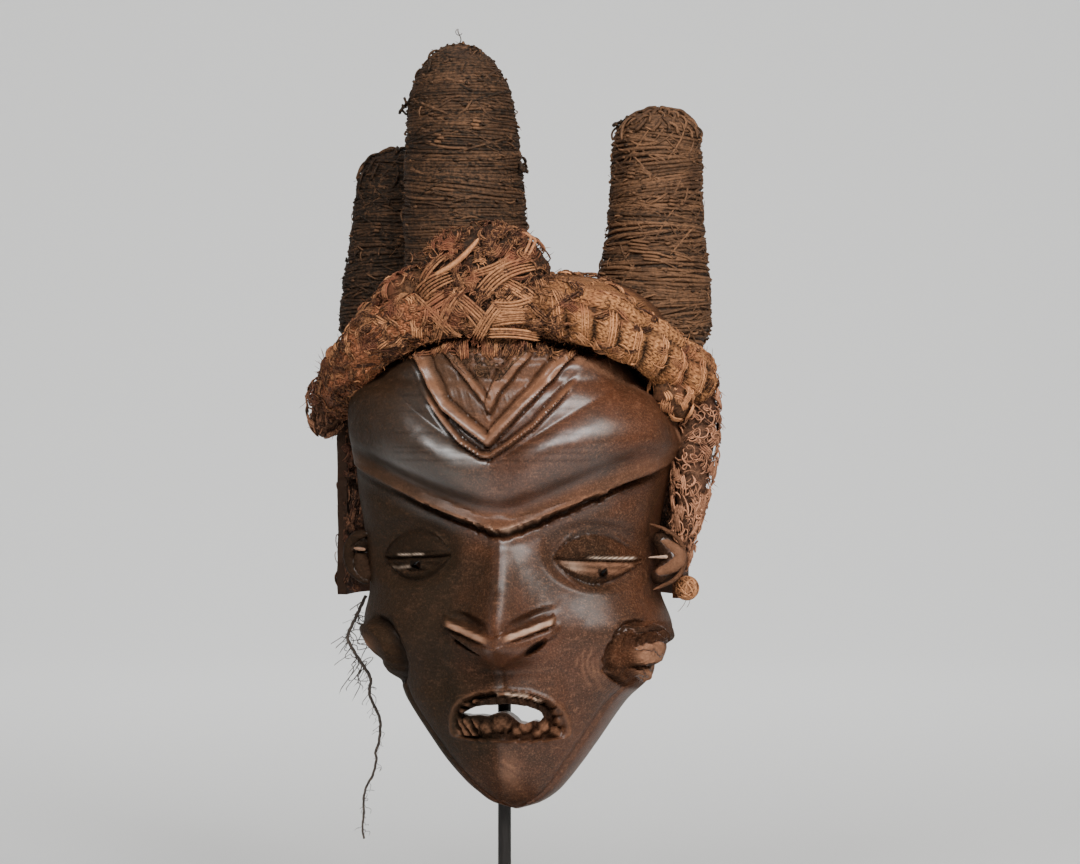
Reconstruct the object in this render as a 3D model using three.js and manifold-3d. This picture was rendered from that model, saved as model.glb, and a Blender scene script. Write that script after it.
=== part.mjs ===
// A carved wooden face mask with a woven raffia cap and three bound horns, held up by a steel stand.
// Millimetres, +Z up. The face looks along -Y, and the origin is under the middle of the stand's foot.

import * as THREE from 'three';
import { mergeVertices } from 'three/addons/utils/BufferGeometryUtils.js';
import Module from 'manifold-3d';

const wasm = await Module();
wasm.setup();

// Driving dimensions
const gap = 0.4; // between neighbouring pieces
const foot = { width: 160, depth: 150, height: 10 };
const rod = { radius: 4, crossbar: 92, top: 386 };
const wall = { wood: 11, weave: 7 };

// The face's outline: height, left edge, right edge, depth of the back rim, depth of the front
const faceOutline = [
  [120, 9.6, 10.4, -9, -12],
  [123.6, -3.6, 22.7, -8.5, -18],
  [129.6, -13, 32.2, -7, -22],
  [135.6, -20.6, 38.1, -6, -25],
  [147.6, -32.3, 47.2, -2, -31],
  [159.6, -41.9, 55.3, 3, -35],
  [183.6, -59.8, 71.1, 13, -39],
  [195.6, -65.8, 82.8, 17, -39],
  [207.6, -75, 90.8, 21, -39],
  [226, -90, 97.9, 26, -39],
  [250, -87.6, 89.6, 30, -38],
  [285, -90.8, 89.3, 30, -38],
  [313, -95.2, 94.9, 30, -42],
  [326, -95.8, 99, 30, -46],
  [340, -96, 105, 30, -50],
  [363, -94, 92.5, 30, -49],
  [374, -87.5, 80.8, 30, -45],
  [390, -66, 64, 30, -30],
  [402, -40, 40, 30, 10],
];
// The line that nose, mouth and chevrons stand on: height, sideways place
const midline = [[120, 9.5], [165, 8.5], [220, 7.4], [285, 6], [335, 1], [402, 0.5]];
const brow = { apex: 287, rise: 38, halfWidth: 96, soft: 9, ledge: 7 };
const eye = { out: [57.5, 54.5], height: 270, halfWidth: 24, halfHeight: 15, slit: 2.6 }; // left, right
const nose = { root: 290, tip: 225, base: 205, relief: 27, wing: 31 };
const mouth = { height: 177, halfWidth: 33, halfHeight: 13, opening: [49, 10] };
const lump = { out: [84, 80], height: 211, radius: 21, relief: 7 };
const ear = { height: 268, halfWidth: [7, 12], halfHeight: [12, 14.5], bar: 4.2, depth: 10 };

// The cap's level sections: height, half width, half depth
const capRings = [
  [441, 12, 10], [439, 42, 36], [433, 68, 60], [422, 87, 76], [406, 99, 85], [385, 106, 89],
  [350, 108, 90], [300, 108, 88], [244, 108.3, 84],
];
const capCentre = { x: -4, y: 40 };
const capSquareness = 0.8; // 1 gives plain ellipses, less gives squarer ones
const hoodFront = 31.5; // the hood's front edge lies behind the wood's back rim
// The roll along the cap's front edge: points of its centre line and radius
const roll = {
  radius: 17,
  points: [
    [-105, 26, 362], [-95, -3, 378], [-72, -27, 399], [-32, -39, 413], [10, -42, 416],
    [52, -37, 411], [83, -21, 399], [103, 2, 385], [115, 26, 374],
  ],
};
// Lumps of gathered raffia on the cap: start, end, radius at both
const gathers = [
  { from: [-113, 25, 366], to: [-117, 28, 354], radii: [13, 13] },
  { from: [115, 26, 370], to: [105, 23, 266], radii: [18, 7] },
  { from: [100, -2, 370], to: [103, 4, 362], radii: [13, 12] },
];

// The horns: middle of the foot, top, radii at heights above the foot, height of the domed end
const horns = [
  {
    name: 'horn_centre',
    foot: [-25, 15, 410],
    top: [-31, 15, 578],
    radii: [[9, 37], [60, 37], [90, 35.5], [116, 33.5]],
    dome: 52,
  },
  {
    name: 'horn_left',
    foot: [-84, 74, 388],
    top: [-82.5, 74, 517],
    radii: [[20, 35], [47, 33], [72, 28.7], [95, 26], [105, 25]],
    dome: 24,
  },
  {
    name: 'horn_right',
    foot: [77, 76, 388],
    top: [81, 75, 539.5],
    radii: [[20, 35.5], [47, 34.3], [72, 30.4], [96, 28.2], [131.5, 27]],
    dome: 20,
  },
];
const tuft = { centre: [-4, -37, 434], size: [41, 21, 35] };
const ball = { centre: [107, 23.7, 250.6], radius: 7.3 };
// The route of the cord that hangs from the hood's lower edge: sideways, depth, height
const cordRadius = 1.2;
const cordRoute = [
  [-94.9, 40, 243], [-100.6, 40, 231], [-106.5, 41, 218], [-103.5, 41, 210], [-97.6, 41, 201],
  [-92.3, 41, 192], [-92.8, 41, 182], [-86.8, 41, 168.5], [-86, 40, 160], [-87.2, 40, 151.5],
  [-89, 40, 147], [-88.4, 40, 142.5], [-90.6, 40, 133], [-94.5, 40, 126], [-96.4, 40, 118.5],
  [-96.4, 40, 109], [-97.2, 40, 100], [-96.2, 40, 93.5],
];

// A smooth curve through one column of a table, as a function of the table's first column
function along(rows, column) {
  const slope = (i, j) => (rows[j][column] - rows[i][column]) / (rows[j][0] - rows[i][0]);
  const last = rows.length - 1;
  return (z) => {
    let i = 0;
    while (i < last - 1 && z > rows[i + 1][0]) i += 1;
    const span = rows[i + 1][0] - rows[i][0];
    const s = Math.min(1, Math.max(0, (z - rows[i][0]) / span));
    const start = slope(Math.max(0, i - 1), i + 1) * span;
    const end = slope(i, Math.min(last, i + 2)) * span;
    const a = rows[i][column];
    const b = rows[i + 1][column];
    return a + s * (start + s * (3 * (b - a) - 2 * start - end + s * (2 * (a - b) + start + end)));
  };
}

// Rises softly from 0 to 1
function step(from, to, value) {
  const s = Math.min(1, Math.max(0, (value - from) / (to - from)));
  return s * s * (3 - 2 * s);
}

// A soft hump: 1 where every term is 0
function swell(...terms) {
  return Math.exp(-terms.reduce((sum, term) => sum + term * term, 0));
}

const sideSquareness = 0.92; // 1 and 1 give the face elliptical sections, less gives squarer ones
const frontSquareness = 0.85;
const leftEdge = along(faceOutline, 1);
const rightEdge = along(faceOutline, 2);
const rimDepth = along(faceOutline, 3);
const frontDepth = along(faceOutline, 4);
const midlineAt = along(midline, 1);

// The height of the brow's edge, a V with a soft tip
// The value for the left or the right side, from a pair
function onSide(pair, across) {
  return pair[across < 0 ? 0 : 1];
}

function browLine(side) {
  const spread = Math.hypot(Math.min(side, 1.1 * brow.halfWidth), brow.soft) - brow.soft;
  return brow.apex + (brow.rise * spread) / (Math.hypot(brow.halfWidth, brow.soft) - brow.soft);
}

// How far the carving stands out of the plain face, at a distance from the midline and a height
function relief(across, z) {
  const side = Math.abs(across);
  const aboveBrow = z - browLine(side);
  let out = brow.ledge * step(-1.5, 2.5, aboveBrow) - 4 * swell((aboveBrow + 6) / 5);
  out -= 2.5 * swell((aboveBrow - 13) / 6);
  out += 8 * swell((aboveBrow - 31 - 0.12 * side) / 15) * (0.5 + 0.5 * step(3, 26, side));
  const fromEye = side - onSide(eye.out, across);
  const socket = [fromEye / (eye.halfWidth + 6), (z - eye.height - 2) / (eye.halfHeight + 6)];
  const toEye = Math.hypot(...socket);
  out -= 6 * (1 - step(0.7, 1.1, toEye));
  const onEye = Math.hypot(fromEye / eye.halfWidth, (z - eye.height) / eye.halfHeight);
  out += 8 * Math.max(0, 1 - onEye * onEye);
  const bridge = step(nose.root + 6, nose.tip + 4, z);
  const under = step(nose.base - 2, nose.tip - 2, z);
  const width = 7 + 7 * bridge;
  out += (7 + (nose.relief - 7) * bridge ** 1.4) * under * step(nose.root + 8, nose.root - 8, z)
    / (1 + (side / width) ** 4);
  out += 9 * swell((z - nose.tip + 4 - 0.3 * side) / 5.5) * step(nose.wing + 5, nose.wing - 5, side);
  out -= 3 * swell((side - 25) / 9, (z - nose.tip - 16) / 7);
  out += 5 * swell((side - 56) / 24, (z - 226) / 24);
  out -= 3 * swell((side - 40) / 7, (z - 196) / 22);
  out += 5 * swell(side / 38, (z - mouth.height) / 22);
  const toMouth = Math.hypot(side / mouth.halfWidth, (z - mouth.height) / mouth.halfHeight);
  out += 3 * swell((toMouth - 1.12) / 0.22);
  out += 5 * swell(side / 18, (z - 140) / 15);
  const toLump = Math.hypot(side - onSide(lump.out, across), z - lump.height) / lump.radius;
  out += lump.relief * (1 - step(0.75, 1.05, toLump));
  return out;
}

// A point on the carved face, at an angle from the front and a height, set back by a thickness.
// The hollow at the back follows the carving only a little.
function facePoint(angle, z, inset) {
  const half = (rightEdge(z) - leftEdge(z)) / 2;
  const middle = (rightEdge(z) + leftEdge(z)) / 2;
  const reach = Math.sign(angle) * Math.abs(Math.sin(angle)) ** sideSquareness;
  const front = Math.abs(Math.cos(angle)) ** frontSquareness;
  const x = middle + reach * half;
  const y = rimDepth(z) + (frontDepth(z) - rimDepth(z)) * front;
  const raised = relief(x - midlineAt(z), z);
  const followed = inset > 0 ? Math.min(raised, 3 + 0.35 * raised) : raised; // plainer inside
  const out = followed * step(0.08, 0.62, front) - inset;
  return new THREE.Vector3(x + out * Math.sin(angle), y - out * Math.cos(angle), z);
}

// A closed body around an upright axis, from rings that a function places from the top down
function ringBody(columns, rows, place) {
  const geometry = new THREE.CylinderGeometry(1, 1, 1, columns, rows);
  const position = geometry.attributes.position;
  const ring = [];
  for (let row = 0; row <= rows; row += 1) {
    ring.push(Array.from({ length: columns }, (_, column) => place(column, row)));
  }
  for (let i = 0; i < position.count; i += 1) {
    const row = Math.round((0.5 - position.getY(i)) * rows);
    const turn = Math.atan2(position.getX(i), position.getZ(i)) / (2 * Math.PI);
    const column = (Math.round(turn * columns) + columns) % columns;
    const onRing = Math.hypot(position.getX(i), position.getZ(i)) > 0.5;
    const point = onRing
      ? ring[row][column]
      : ring[row].reduce((sum, p) => sum.add(p), new THREE.Vector3()).divideScalar(columns);
    position.setXYZ(i, point.x, point.y, point.z);
  }
  return geometry;
}

// Merges a closed geometry's corners and turns it into a solid
function solid(geometry) {
  const bare = geometry.clone();
  bare.deleteAttribute('normal');
  bare.deleteAttribute('uv');
  const merged = mergeVertices(bare, 1e-3);
  const corners = [];
  for (let i = 0; i < merged.index.count; i += 3) {
    const [a, b, c] = [0, 1, 2].map((k) => merged.index.getX(i + k));
    if (a !== b && b !== c && c !== a) corners.push(a, b, c);
  }
  const mesh = new wasm.Mesh({
    numProp: 3,
    vertProperties: merged.attributes.position.array,
    triVerts: Uint32Array.from(corners),
  });
  mesh.merge();
  return new wasm.Manifold(mesh);
}

function joined(solids) {
  return solids.reduce((all, one) => all.add(one));
}

// The rows of the face follow the brow, so that its edge stays sharp
function faceRows(low, high) {
  const rows = [];
  for (let i = 0; i <= low; i += 1) rows.push({ part: i / low, above: false });
  for (let i = 0; i <= high; i += 1) rows.push({ part: i / high, above: true });
  return rows.reverse();
}

function faceRowHeight(row, side, bottom, top) {
  const line = browLine(side * brow.halfWidth);
  if (row.above) return line + 3 + (top - line - 3) * row.part;
  return bottom + (line - 2 - bottom) * row.part ** 0.92;
}

// The face as a closed body: its carved front, and a flat back between the two rims
function faceBody({ frontColumns, backColumns, low, high, inset, behind, bottom, top }) {
  const rows = faceRows(low, high);
  const columns = frontColumns + backColumns;
  const centrePull = 0.38; // sets the columns closer at the nose than at the sides
  return ringBody(columns, rows.length - 1, (column, index) => {
    if (column <= frontColumns) {
      const u = (2 * column) / frontColumns - 1;
      const angle = (Math.PI / 2) * ((1 - centrePull) * u + centrePull * u ** 3);
      const z = faceRowHeight(rows[index], Math.abs(Math.sin(angle)), bottom, top);
      return facePoint(angle, z, inset);
    }
    const z = faceRowHeight(rows[index], 1, bottom, top);
    const left = facePoint(-Math.PI / 2, z, inset);
    const right = facePoint(Math.PI / 2, z, inset);
    const back = right.lerp(left, (column - frontColumns) / backColumns);
    return back.setY(back.y + behind);
  });
}

const faceGrid = { frontColumns: 34, backColumns: 4, low: 21, high: 9 };

// A round bar along a smooth path
function rodAlong(points, radius, steps, sides) {
  const path = new THREE.CatmullRomCurve3(points.map((p) => new THREE.Vector3(...p)));
  const circle = new THREE.EllipseCurve(0, 0, radius, radius).getPoints(sides).slice(0, sides);
  const section = new THREE.Shape(circle);
  return new THREE.ExtrudeGeometry(section, { steps, bevelEnabled: false, extrudePath: path });
}

// Points on the carved face, from distance to the midline, height and lift off the surface
function facePath(places) {
  return places.map(([across, z, lift]) => {
    const half = (rightEdge(z) - leftEdge(z)) / 2;
    const middle = (rightEdge(z) + leftEdge(z)) / 2;
    const reach = (midlineAt(z) + across - middle) / half;
    const angle = Math.sign(reach) * Math.asin(Math.abs(reach) ** (1 / sideSquareness));
    return facePoint(angle, z, -lift).toArray();
  });
}

// Ridges of the chevrons on the forehead: points as distance from the midline and height
const chevronArms = [
  { radius: 4.4, points: [[1.5, 339.5], [-12, 351], [-25, 361], [-34, 376], [-43, 393]] },
  { radius: 4.6, points: [[-1.5, 339.5], [12, 354], [24, 368], [34, 381], [42, 393]] },
  { radius: 3, points: [[2.5, 331.5], [-4, 332.5], [-15, 340], [-24, 350], [-35, 366]] },
  { radius: 3, points: [[-1, 331.5], [12, 338.5], [26, 349.5], [37, 362.5], [44, 372]] },
  { radius: 3.2, points: [[1.5, 361], [-9, 372.5], [-18, 382.5], [-26, 392]] },
  { radius: 4, points: [[-1, 361], [5.6, 373.4], [14.6, 385.7], [20, 391.5]] },
];

function chevrons() {
  const lift = 1.4;
  return chevronArms.map(({ radius, points }) => {
    const path = facePath(points.map(([across, z]) => [across, z, lift]));
    return solid(rodAlong(path, radius, 5, 5));
  });
}

// An ear: a C-shaped loop at the level of the eyes
function earLoop(side) {
  const edge = side < 0 ? leftEdge(ear.height) : rightEdge(ear.height);
  const points = Array.from({ length: 9 }, (_, i) => {
    const turn = THREE.MathUtils.degToRad(-125 + (250 * i) / 8);
    return [
      edge + side * (2 + onSide(ear.halfWidth, side) * Math.cos(turn)),
      ear.depth,
      ear.height + onSide(ear.halfHeight, side) * Math.sin(turn),
    ];
  });
  return solid(rodAlong(points, ear.bar, 10, 7));
}

function ellipsoid(centre, size, across = 16, down = 10) {
  const geometry = new THREE.SphereGeometry(1, across, down);
  geometry.scale(size[0], size[1], size[2]);
  geometry.translate(centre[0], centre[1], centre[2]);
  return geometry;
}

// A level prism through the face along Y, from an ellipse of four-fold squareness
function through(centre, halfWidth, halfHeight, from, to, sides = 16) {
  const outline = Array.from({ length: sides }, (_, i) => {
    const turn = (2 * Math.PI * (i + 0.5)) / sides;
    const soft = (value) => Math.sign(value) * Math.abs(value) ** 0.7;
    return new THREE.Vector2(halfWidth * soft(Math.cos(turn)), halfHeight * soft(Math.sin(turn)));
  });
  const settings = { depth: to - from, bevelEnabled: false };
  const geometry = new THREE.ExtrudeGeometry(new THREE.Shape(outline), settings);
  geometry.rotateX(Math.PI / 2);
  geometry.translate(centre[0], to, centre[1]);
  return geometry;
}

function faceCuts() {
  const cuts = [];
  const mouthX = midlineAt(mouth.height);
  cuts.push(through([mouthX, mouth.height], mouth.halfWidth - 2, mouth.halfHeight - 3, -90, -38));
  cuts.push(through([mouthX, mouth.height + 1], mouth.opening[0] / 2, mouth.opening[1] / 2, -90, 5));
  [-1, 1].forEach((side) => {
    const eyeX = midlineAt(eye.height) + side * onSide(eye.out, side);
    cuts.push(through([eyeX, eye.height - 3], eye.halfWidth / 2, eye.slit / 2, -90, 5, 12));
    cuts.push(ellipsoid([midlineAt(216) + side * 15, -51, 216], [5, 7, 4], 10, 6));
  });
  return cuts.map(solid);
}

// Teeth stand up from the lower lip and hang from the upper one
function teeth() {
  const lower = [[-14, 6], [-3, 5], [8, 5], [19, 7]];
  const upper = [[-17, 4], [-6, 4], [6, 4], [17, 4]];
  const tooth = (across, z, height) => {
    const centre = [midlineAt(z) + across, -37, z];
    return ellipsoid(centre, [5.2, 5, height], 6, 4);
  };
  return [
    ...lower.map(([across, height]) => tooth(across, mouth.height - 8, height)),
    ...upper.map(([across, height]) => tooth(across, mouth.height + 9, height)),
  ].map(solid);
}

function carvedFace() {
  const outer = solid(faceBody({ ...faceGrid, inset: 0, behind: 0, bottom: 120, top: 402 }));
  const hollow = solid(faceBody({
    frontColumns: 14,
    backColumns: 4,
    low: 9,
    high: 5,
    inset: wall.wood,
    behind: 30,
    bottom: 134,
    top: 391,
  }));
  const carved = joined([outer, earLoop(-1), earLoop(1), ...chevrons()]).subtract(hollow);
  const open = faceCuts().reduce((body, cut) => body.subtract(cut), carved);
  return open.add(joined(teeth()).subtract(hollow));
}

// The filled face, a little larger, that the cap lies on
function faceForm() {
  return solid(faceBody({
    ...faceGrid, inset: -gap, behind: gap, bottom: 120, top: 402 + gap,
  }));
}

function squarer(value) {
  return Math.sign(value) * Math.abs(value) ** capSquareness;
}

// The body of crown and hood, larger by grow, down to a level
function capShell(grow, bottom) {
  const halfWidth = along([...capRings].reverse(), 1);
  const halfDepth = along([...capRings].reverse(), 2);
  const columns = 26;
  const rows = 10;
  const [low, high] = [capRings[capRings.length - 1][0], capRings[0][0]];
  return solid(ringBody(columns, rows, (column, row) => {
    const level = low + (high - low) * (1 - (row / rows) ** 2.2);
    const turn = (2 * Math.PI * column) / columns;
    const [across, ahead] = [Math.sin(turn), Math.cos(turn)].map(squarer);
    const x = capCentre.x + (halfWidth(level) + grow) * across;
    const y = capCentre.y - (halfDepth(level) + grow) * ahead;
    return new THREE.Vector3(x, y, row === rows ? bottom : level + grow);
  }));
}

// One lump of gathered raffia, a spindle from start to end
function gather({ from, to, radii }, grow) {
  const start = new THREE.Vector3(...from);
  const end = new THREE.Vector3(...to);
  const length = start.distanceTo(end);
  const [r0, r1] = radii.map((radius) => radius + grow);
  const parts = 8;
  const profile = Array.from({ length: parts + 1 }, (_, i) => {
    const s = i / parts;
    const radius = (r0 + (r1 - r0) * s) * Math.sin(Math.PI * s) ** 0.6;
    return new THREE.Vector2(i % parts ? radius : 0, -r0 + (length + r0 + r1) * s);
  });
  const geometry = new THREE.LatheGeometry(profile, 10);
  const turn = new THREE.Quaternion().setFromUnitVectors(
    new THREE.Vector3(0, 1, 0),
    end.clone().sub(start).normalize(),
  );
  geometry.applyQuaternion(turn);
  geometry.translate(start.x, start.y, start.z);
  return solid(geometry);
}

// The cap's outer form, larger by grow
function capForm(grow) {
  const window = solid(faceWindow());
  const shell = capShell(grow, capRings[capRings.length - 1][0] - grow).subtract(window);
  const edge = solid(rodAlong(roll.points, roll.radius + grow, 16, 9));
  return joined([shell, edge, ...gathers.map((one) => gather(one, grow))]);
}

// The opening for the face, in front of the hood's front edge and below the roll
function faceWindow() {
  const arch = Array.from({ length: 13 }, (_, i) => {
    const x = -150 + 25 * i;
    return new THREE.Vector2(x, 398 - 32 * Math.min(1, Math.abs(x) / 110) ** 2);
  });
  const outline = [...arch, new THREE.Vector2(150, 200), new THREE.Vector2(-150, 200)];
  const settings = { depth: 120, bevelEnabled: false };
  const geometry = new THREE.ExtrudeGeometry(new THREE.Shape(outline), settings);
  geometry.rotateX(Math.PI / 2);
  geometry.translate(0, hoodFront, 0);
  return geometry;
}

function wovenCap() {
  const hollow = capShell(-wall.weave, 220);
  return capForm(0).subtract(hollow).subtract(faceForm());
}

function hornBody({ foot: start, top, radii, dome }, grow) {
  const height = top[2] - start[2];
  const widest = radii[0][1] * 0.8;
  const profile = [new THREE.Vector2(0, -grow), new THREE.Vector2(widest + grow, -grow)];
  radii.forEach(([level, radius]) => profile.push(new THREE.Vector2(radius + grow, level)));
  const last = radii[radii.length - 1][1];
  for (let i = 1; i < 6; i += 1) {
    const turn = (Math.PI / 2) * (i / 6);
    const rise = height - dome + (dome + grow) * Math.sin(turn);
    profile.push(new THREE.Vector2((last + grow) * Math.cos(turn), rise));
  }
  profile.push(new THREE.Vector2(0, height + grow));
  const geometry = new THREE.LatheGeometry(profile, 16);
  geometry.rotateX(Math.PI / 2);
  const position = geometry.attributes.position;
  for (let i = 0; i < position.count; i += 1) {
    const s = position.getZ(i) / height;
    position.setX(i, position.getX(i) + start[0] + (top[0] - start[0]) * s);
    position.setY(i, position.getY(i) + start[1] + (top[1] - start[1]) * s);
    position.setZ(i, position.getZ(i) + start[2]);
  }
  return solid(geometry);
}

function standRod() {
  const upright = new THREE.CylinderGeometry(rod.radius, rod.radius, rod.top - foot.height - gap, 16);
  upright.rotateX(Math.PI / 2);
  upright.translate(0, 0, (rod.top + foot.height + gap) / 2);
  const bar = new THREE.CylinderGeometry(rod.radius, rod.radius, rod.crossbar, 16);
  bar.rotateZ(Math.PI / 2);
  bar.translate(0, 0, rod.top);
  return solid(upright).add(solid(bar));
}

function footPlate() {
  const { width, depth, height } = foot;
  const outline = new THREE.Shape();
  const corner = 6;
  outline.moveTo(-width / 2 + corner, -depth / 2);
  outline.lineTo(width / 2 - corner, -depth / 2);
  outline.absarc(width / 2 - corner, -depth / 2 + corner, corner, -Math.PI / 2, 0);
  outline.absarc(width / 2 - corner, depth / 2 - corner, corner, 0, Math.PI / 2);
  outline.absarc(-width / 2 + corner, depth / 2 - corner, corner, Math.PI / 2, Math.PI);
  outline.absarc(-width / 2 + corner, -depth / 2 + corner, corner, Math.PI, 1.5 * Math.PI);
  const settings = { depth: height, bevelEnabled: false, curveSegments: 4 };
  return solid(new THREE.ExtrudeGeometry(outline, settings));
}

const looks = {
  wood: { color: 0x3a2418, roughness: 0.5, metalness: 0 },
  weave: { color: 0x8a6238, roughness: 0.9, metalness: 0 },
  binding: { color: 0x33261b, roughness: 0.9, metalness: 0 },
  cord: { color: 0x2b211a, roughness: 0.9, metalness: 0 },
  steel: { color: 0x1d1a18, roughness: 0.5, metalness: 0.6 },
};

const mask = new THREE.Group();

function addPiece(name, body, look) {
  const { vertProperties, triVerts } = body.getMesh();
  const geometry = new THREE.BufferGeometry();
  geometry.setAttribute('position', new THREE.BufferAttribute(Float32Array.from(vertProperties), 3));
  geometry.setIndex(Array.from(triVerts));
  geometry.computeVertexNormals();
  const mesh = new THREE.Mesh(geometry, new THREE.MeshStandardMaterial(looks[look]));
  mesh.name = name;
  mask.add(mesh);
}

const capUnder = capForm(gap);
const face = carvedFace();
addPiece('mask_face', face, 'wood');
addPiece('raffia_cap', wovenCap(), 'weave');
horns.forEach((horn) => addPiece(horn.name, hornBody(horn, 0).subtract(capUnder), 'binding'));
const wholeTuft = solid(ellipsoid(tuft.centre, tuft.size, 16, 10));
addPiece('front_tuft', wholeTuft.subtract(capUnder).subtract(hornBody(horns[0], gap)), 'weave');
const ballSize = [ball.radius, ball.radius, ball.radius];
addPiece('knot_ball', solid(ellipsoid(ball.centre, ballSize, 10, 7)), 'weave');
addPiece('hanging_cord', solid(rodAlong(cordRoute, cordRadius, 30, 6)), 'cord');
addPiece('stand_rod', standRod(), 'steel');
addPiece('stand_foot', footPlate(), 'steel');

export default mask;
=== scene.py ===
import functools
import math
import random

import bmesh
import bpy
import numpy as np
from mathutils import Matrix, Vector, noise


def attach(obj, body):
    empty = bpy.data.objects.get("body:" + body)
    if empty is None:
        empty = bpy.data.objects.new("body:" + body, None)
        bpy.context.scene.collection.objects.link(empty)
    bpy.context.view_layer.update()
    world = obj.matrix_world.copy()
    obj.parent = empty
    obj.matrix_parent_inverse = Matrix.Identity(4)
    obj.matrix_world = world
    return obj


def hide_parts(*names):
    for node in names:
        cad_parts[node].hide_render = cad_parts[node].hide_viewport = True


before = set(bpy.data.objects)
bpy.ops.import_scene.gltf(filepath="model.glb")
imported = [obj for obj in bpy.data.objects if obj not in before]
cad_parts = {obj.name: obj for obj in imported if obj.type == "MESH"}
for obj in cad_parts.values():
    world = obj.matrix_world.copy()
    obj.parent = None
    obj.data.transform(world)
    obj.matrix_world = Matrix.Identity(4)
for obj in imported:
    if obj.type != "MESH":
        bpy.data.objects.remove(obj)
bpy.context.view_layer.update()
print("stage: frame loaded")

mm = 0.001

# Camera at the photograph's viewing angle
view = {"azimuth": 11, "elevation": 1, "distance": 2.5, "lens": 139, "target": (0.0209, 0.0041, 0.3444)}


def makeCamera():
    data = bpy.data.cameras.new("camera")
    data.lens = view["lens"]
    data.clip_end = 60
    camera = bpy.data.objects.new("camera", data)
    turn, rise = math.radians(view["azimuth"]), math.radians(view["elevation"])
    back = Vector((math.sin(turn) * math.cos(rise), -math.cos(turn) * math.cos(rise), math.sin(rise)))
    camera.location = Vector(view["target"]) + back * view["distance"]
    camera.rotation_euler = (-back).to_track_quat("-Z", "Y").to_euler()
    bpy.context.collection.objects.link(camera)
    bpy.context.scene.camera = camera


makeCamera()


# Shapes shared by the pieces
# A smooth curve through one column of a table, over the table's first column
def smoothColumn(rows, column):
    table = np.array(rows, float)
    at, value = table[:, 0], table[:, column]
    before, after = np.maximum(np.arange(len(at)) - 1, 0), np.minimum(np.arange(len(at)) + 1, len(at) - 1)
    slope = (value[after] - value[before]) / (at[after] - at[before])

    def curve(z):
        i = np.clip(np.searchsorted(at, z, side="right") - 1, 0, len(at) - 2)
        span = at[i + 1] - at[i]
        s = np.clip((z - at[i]) / span, 0, 1)
        a, b, start, end = value[i], value[i + 1], slope[i] * span, slope[i + 1] * span
        return a + s * (start + s * (3 * (b - a) - 2 * start - end + s * (2 * (a - b) + start + end)))

    return curve


def step(low, high, value):
    s = np.clip((value - low) / (high - low), 0, 1)
    return s * s * (3 - 2 * s)


def swell(*terms):
    return np.exp(-sum(term * term for term in terms))


# Smooth noise from -1 to 1 at each point
def grain(points, size, seed=0):
    shift = Vector((seed * 17.3, seed * 5.1, seed * 9.7))
    return np.array([noise.noise(Vector(p) / size + shift) for p in points])


@functools.lru_cache(None)
def wanderTable(size, seed):
    at = np.arange(-300, 700, size / 4)
    return at, np.array([noise.noise(Vector((a / size, seed * 7.31, 0.5))) for a in at])


# Smooth noise from -1 to 1 along one direction
def wander(values, size, seed):
    return np.interp(values, *wanderTable(size, seed))


# The greatest of several layers at each point
def most(*layers):
    return functools.reduce(np.maximum, layers)


def newObject(name, data):
    made = bpy.data.objects.new(name, data)
    bpy.context.collection.objects.link(made)
    return made


# A grid whose points and painted values a function gives from two arrays that run from 0 to 1
def gridObject(name, columns, rows, place):
    mesh = bmesh.new()
    bmesh.ops.create_grid(mesh, x_segments=columns, y_segments=rows, size=1)
    data = bpy.data.meshes.new(name)
    mesh.to_mesh(data)
    mesh.free()
    points = np.empty(len(data.vertices) * 3)
    data.vertices.foreach_get("co", points)
    across, along = (points.reshape(-1, 3)[:, :2].T + 1) / 2
    made = place(across, along)
    points, values = made if isinstance(made, tuple) else (made, {})
    data.vertices.foreach_set("co", np.ascontiguousarray(points).ravel())
    for key, value in values.items():
        data.attributes.new(key, "FLOAT", "POINT").data.foreach_set("value", np.array(value, float))
    mesh = bmesh.new()
    mesh.from_mesh(data)
    bmesh.ops.remove_doubles(mesh, verts=mesh.verts, dist=1e-7)  # the seam
    bmesh.ops.holes_fill(mesh, edges=[e for e in mesh.edges if e.is_boundary], sides=0)  # both ends
    bmesh.ops.triangulate(mesh, faces=[f for f in mesh.faces if len(f.verts) > 4])
    bmesh.ops.recalc_face_normals(mesh, faces=mesh.faces)
    mesh.to_mesh(data)
    mesh.free()
    return newObject(name, data)


# Joins or cuts a closed piece with closed others, which are then deleted
def combine(piece, others, operation):
    for other in others:
        cut = piece.modifiers.new("cut", "BOOLEAN")
        cut.operation, cut.object, cut.solver = operation, other, "MANIFOLD"
    shown = piece.evaluated_get(bpy.context.evaluated_depsgraph_get())
    data = bpy.data.meshes.new_from_object(shown)
    piece.modifiers.clear()
    old = piece.data
    piece.data = data
    data.name = piece.name
    bpy.data.meshes.remove(old)
    for other in others:
        bpy.data.objects.remove(other, do_unlink=True)


def smoothed(piece, angle=38):
    piece.data.shade_smooth()
    piece.data.set_sharp_from_angle(angle=math.radians(angle))
    return piece


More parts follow.
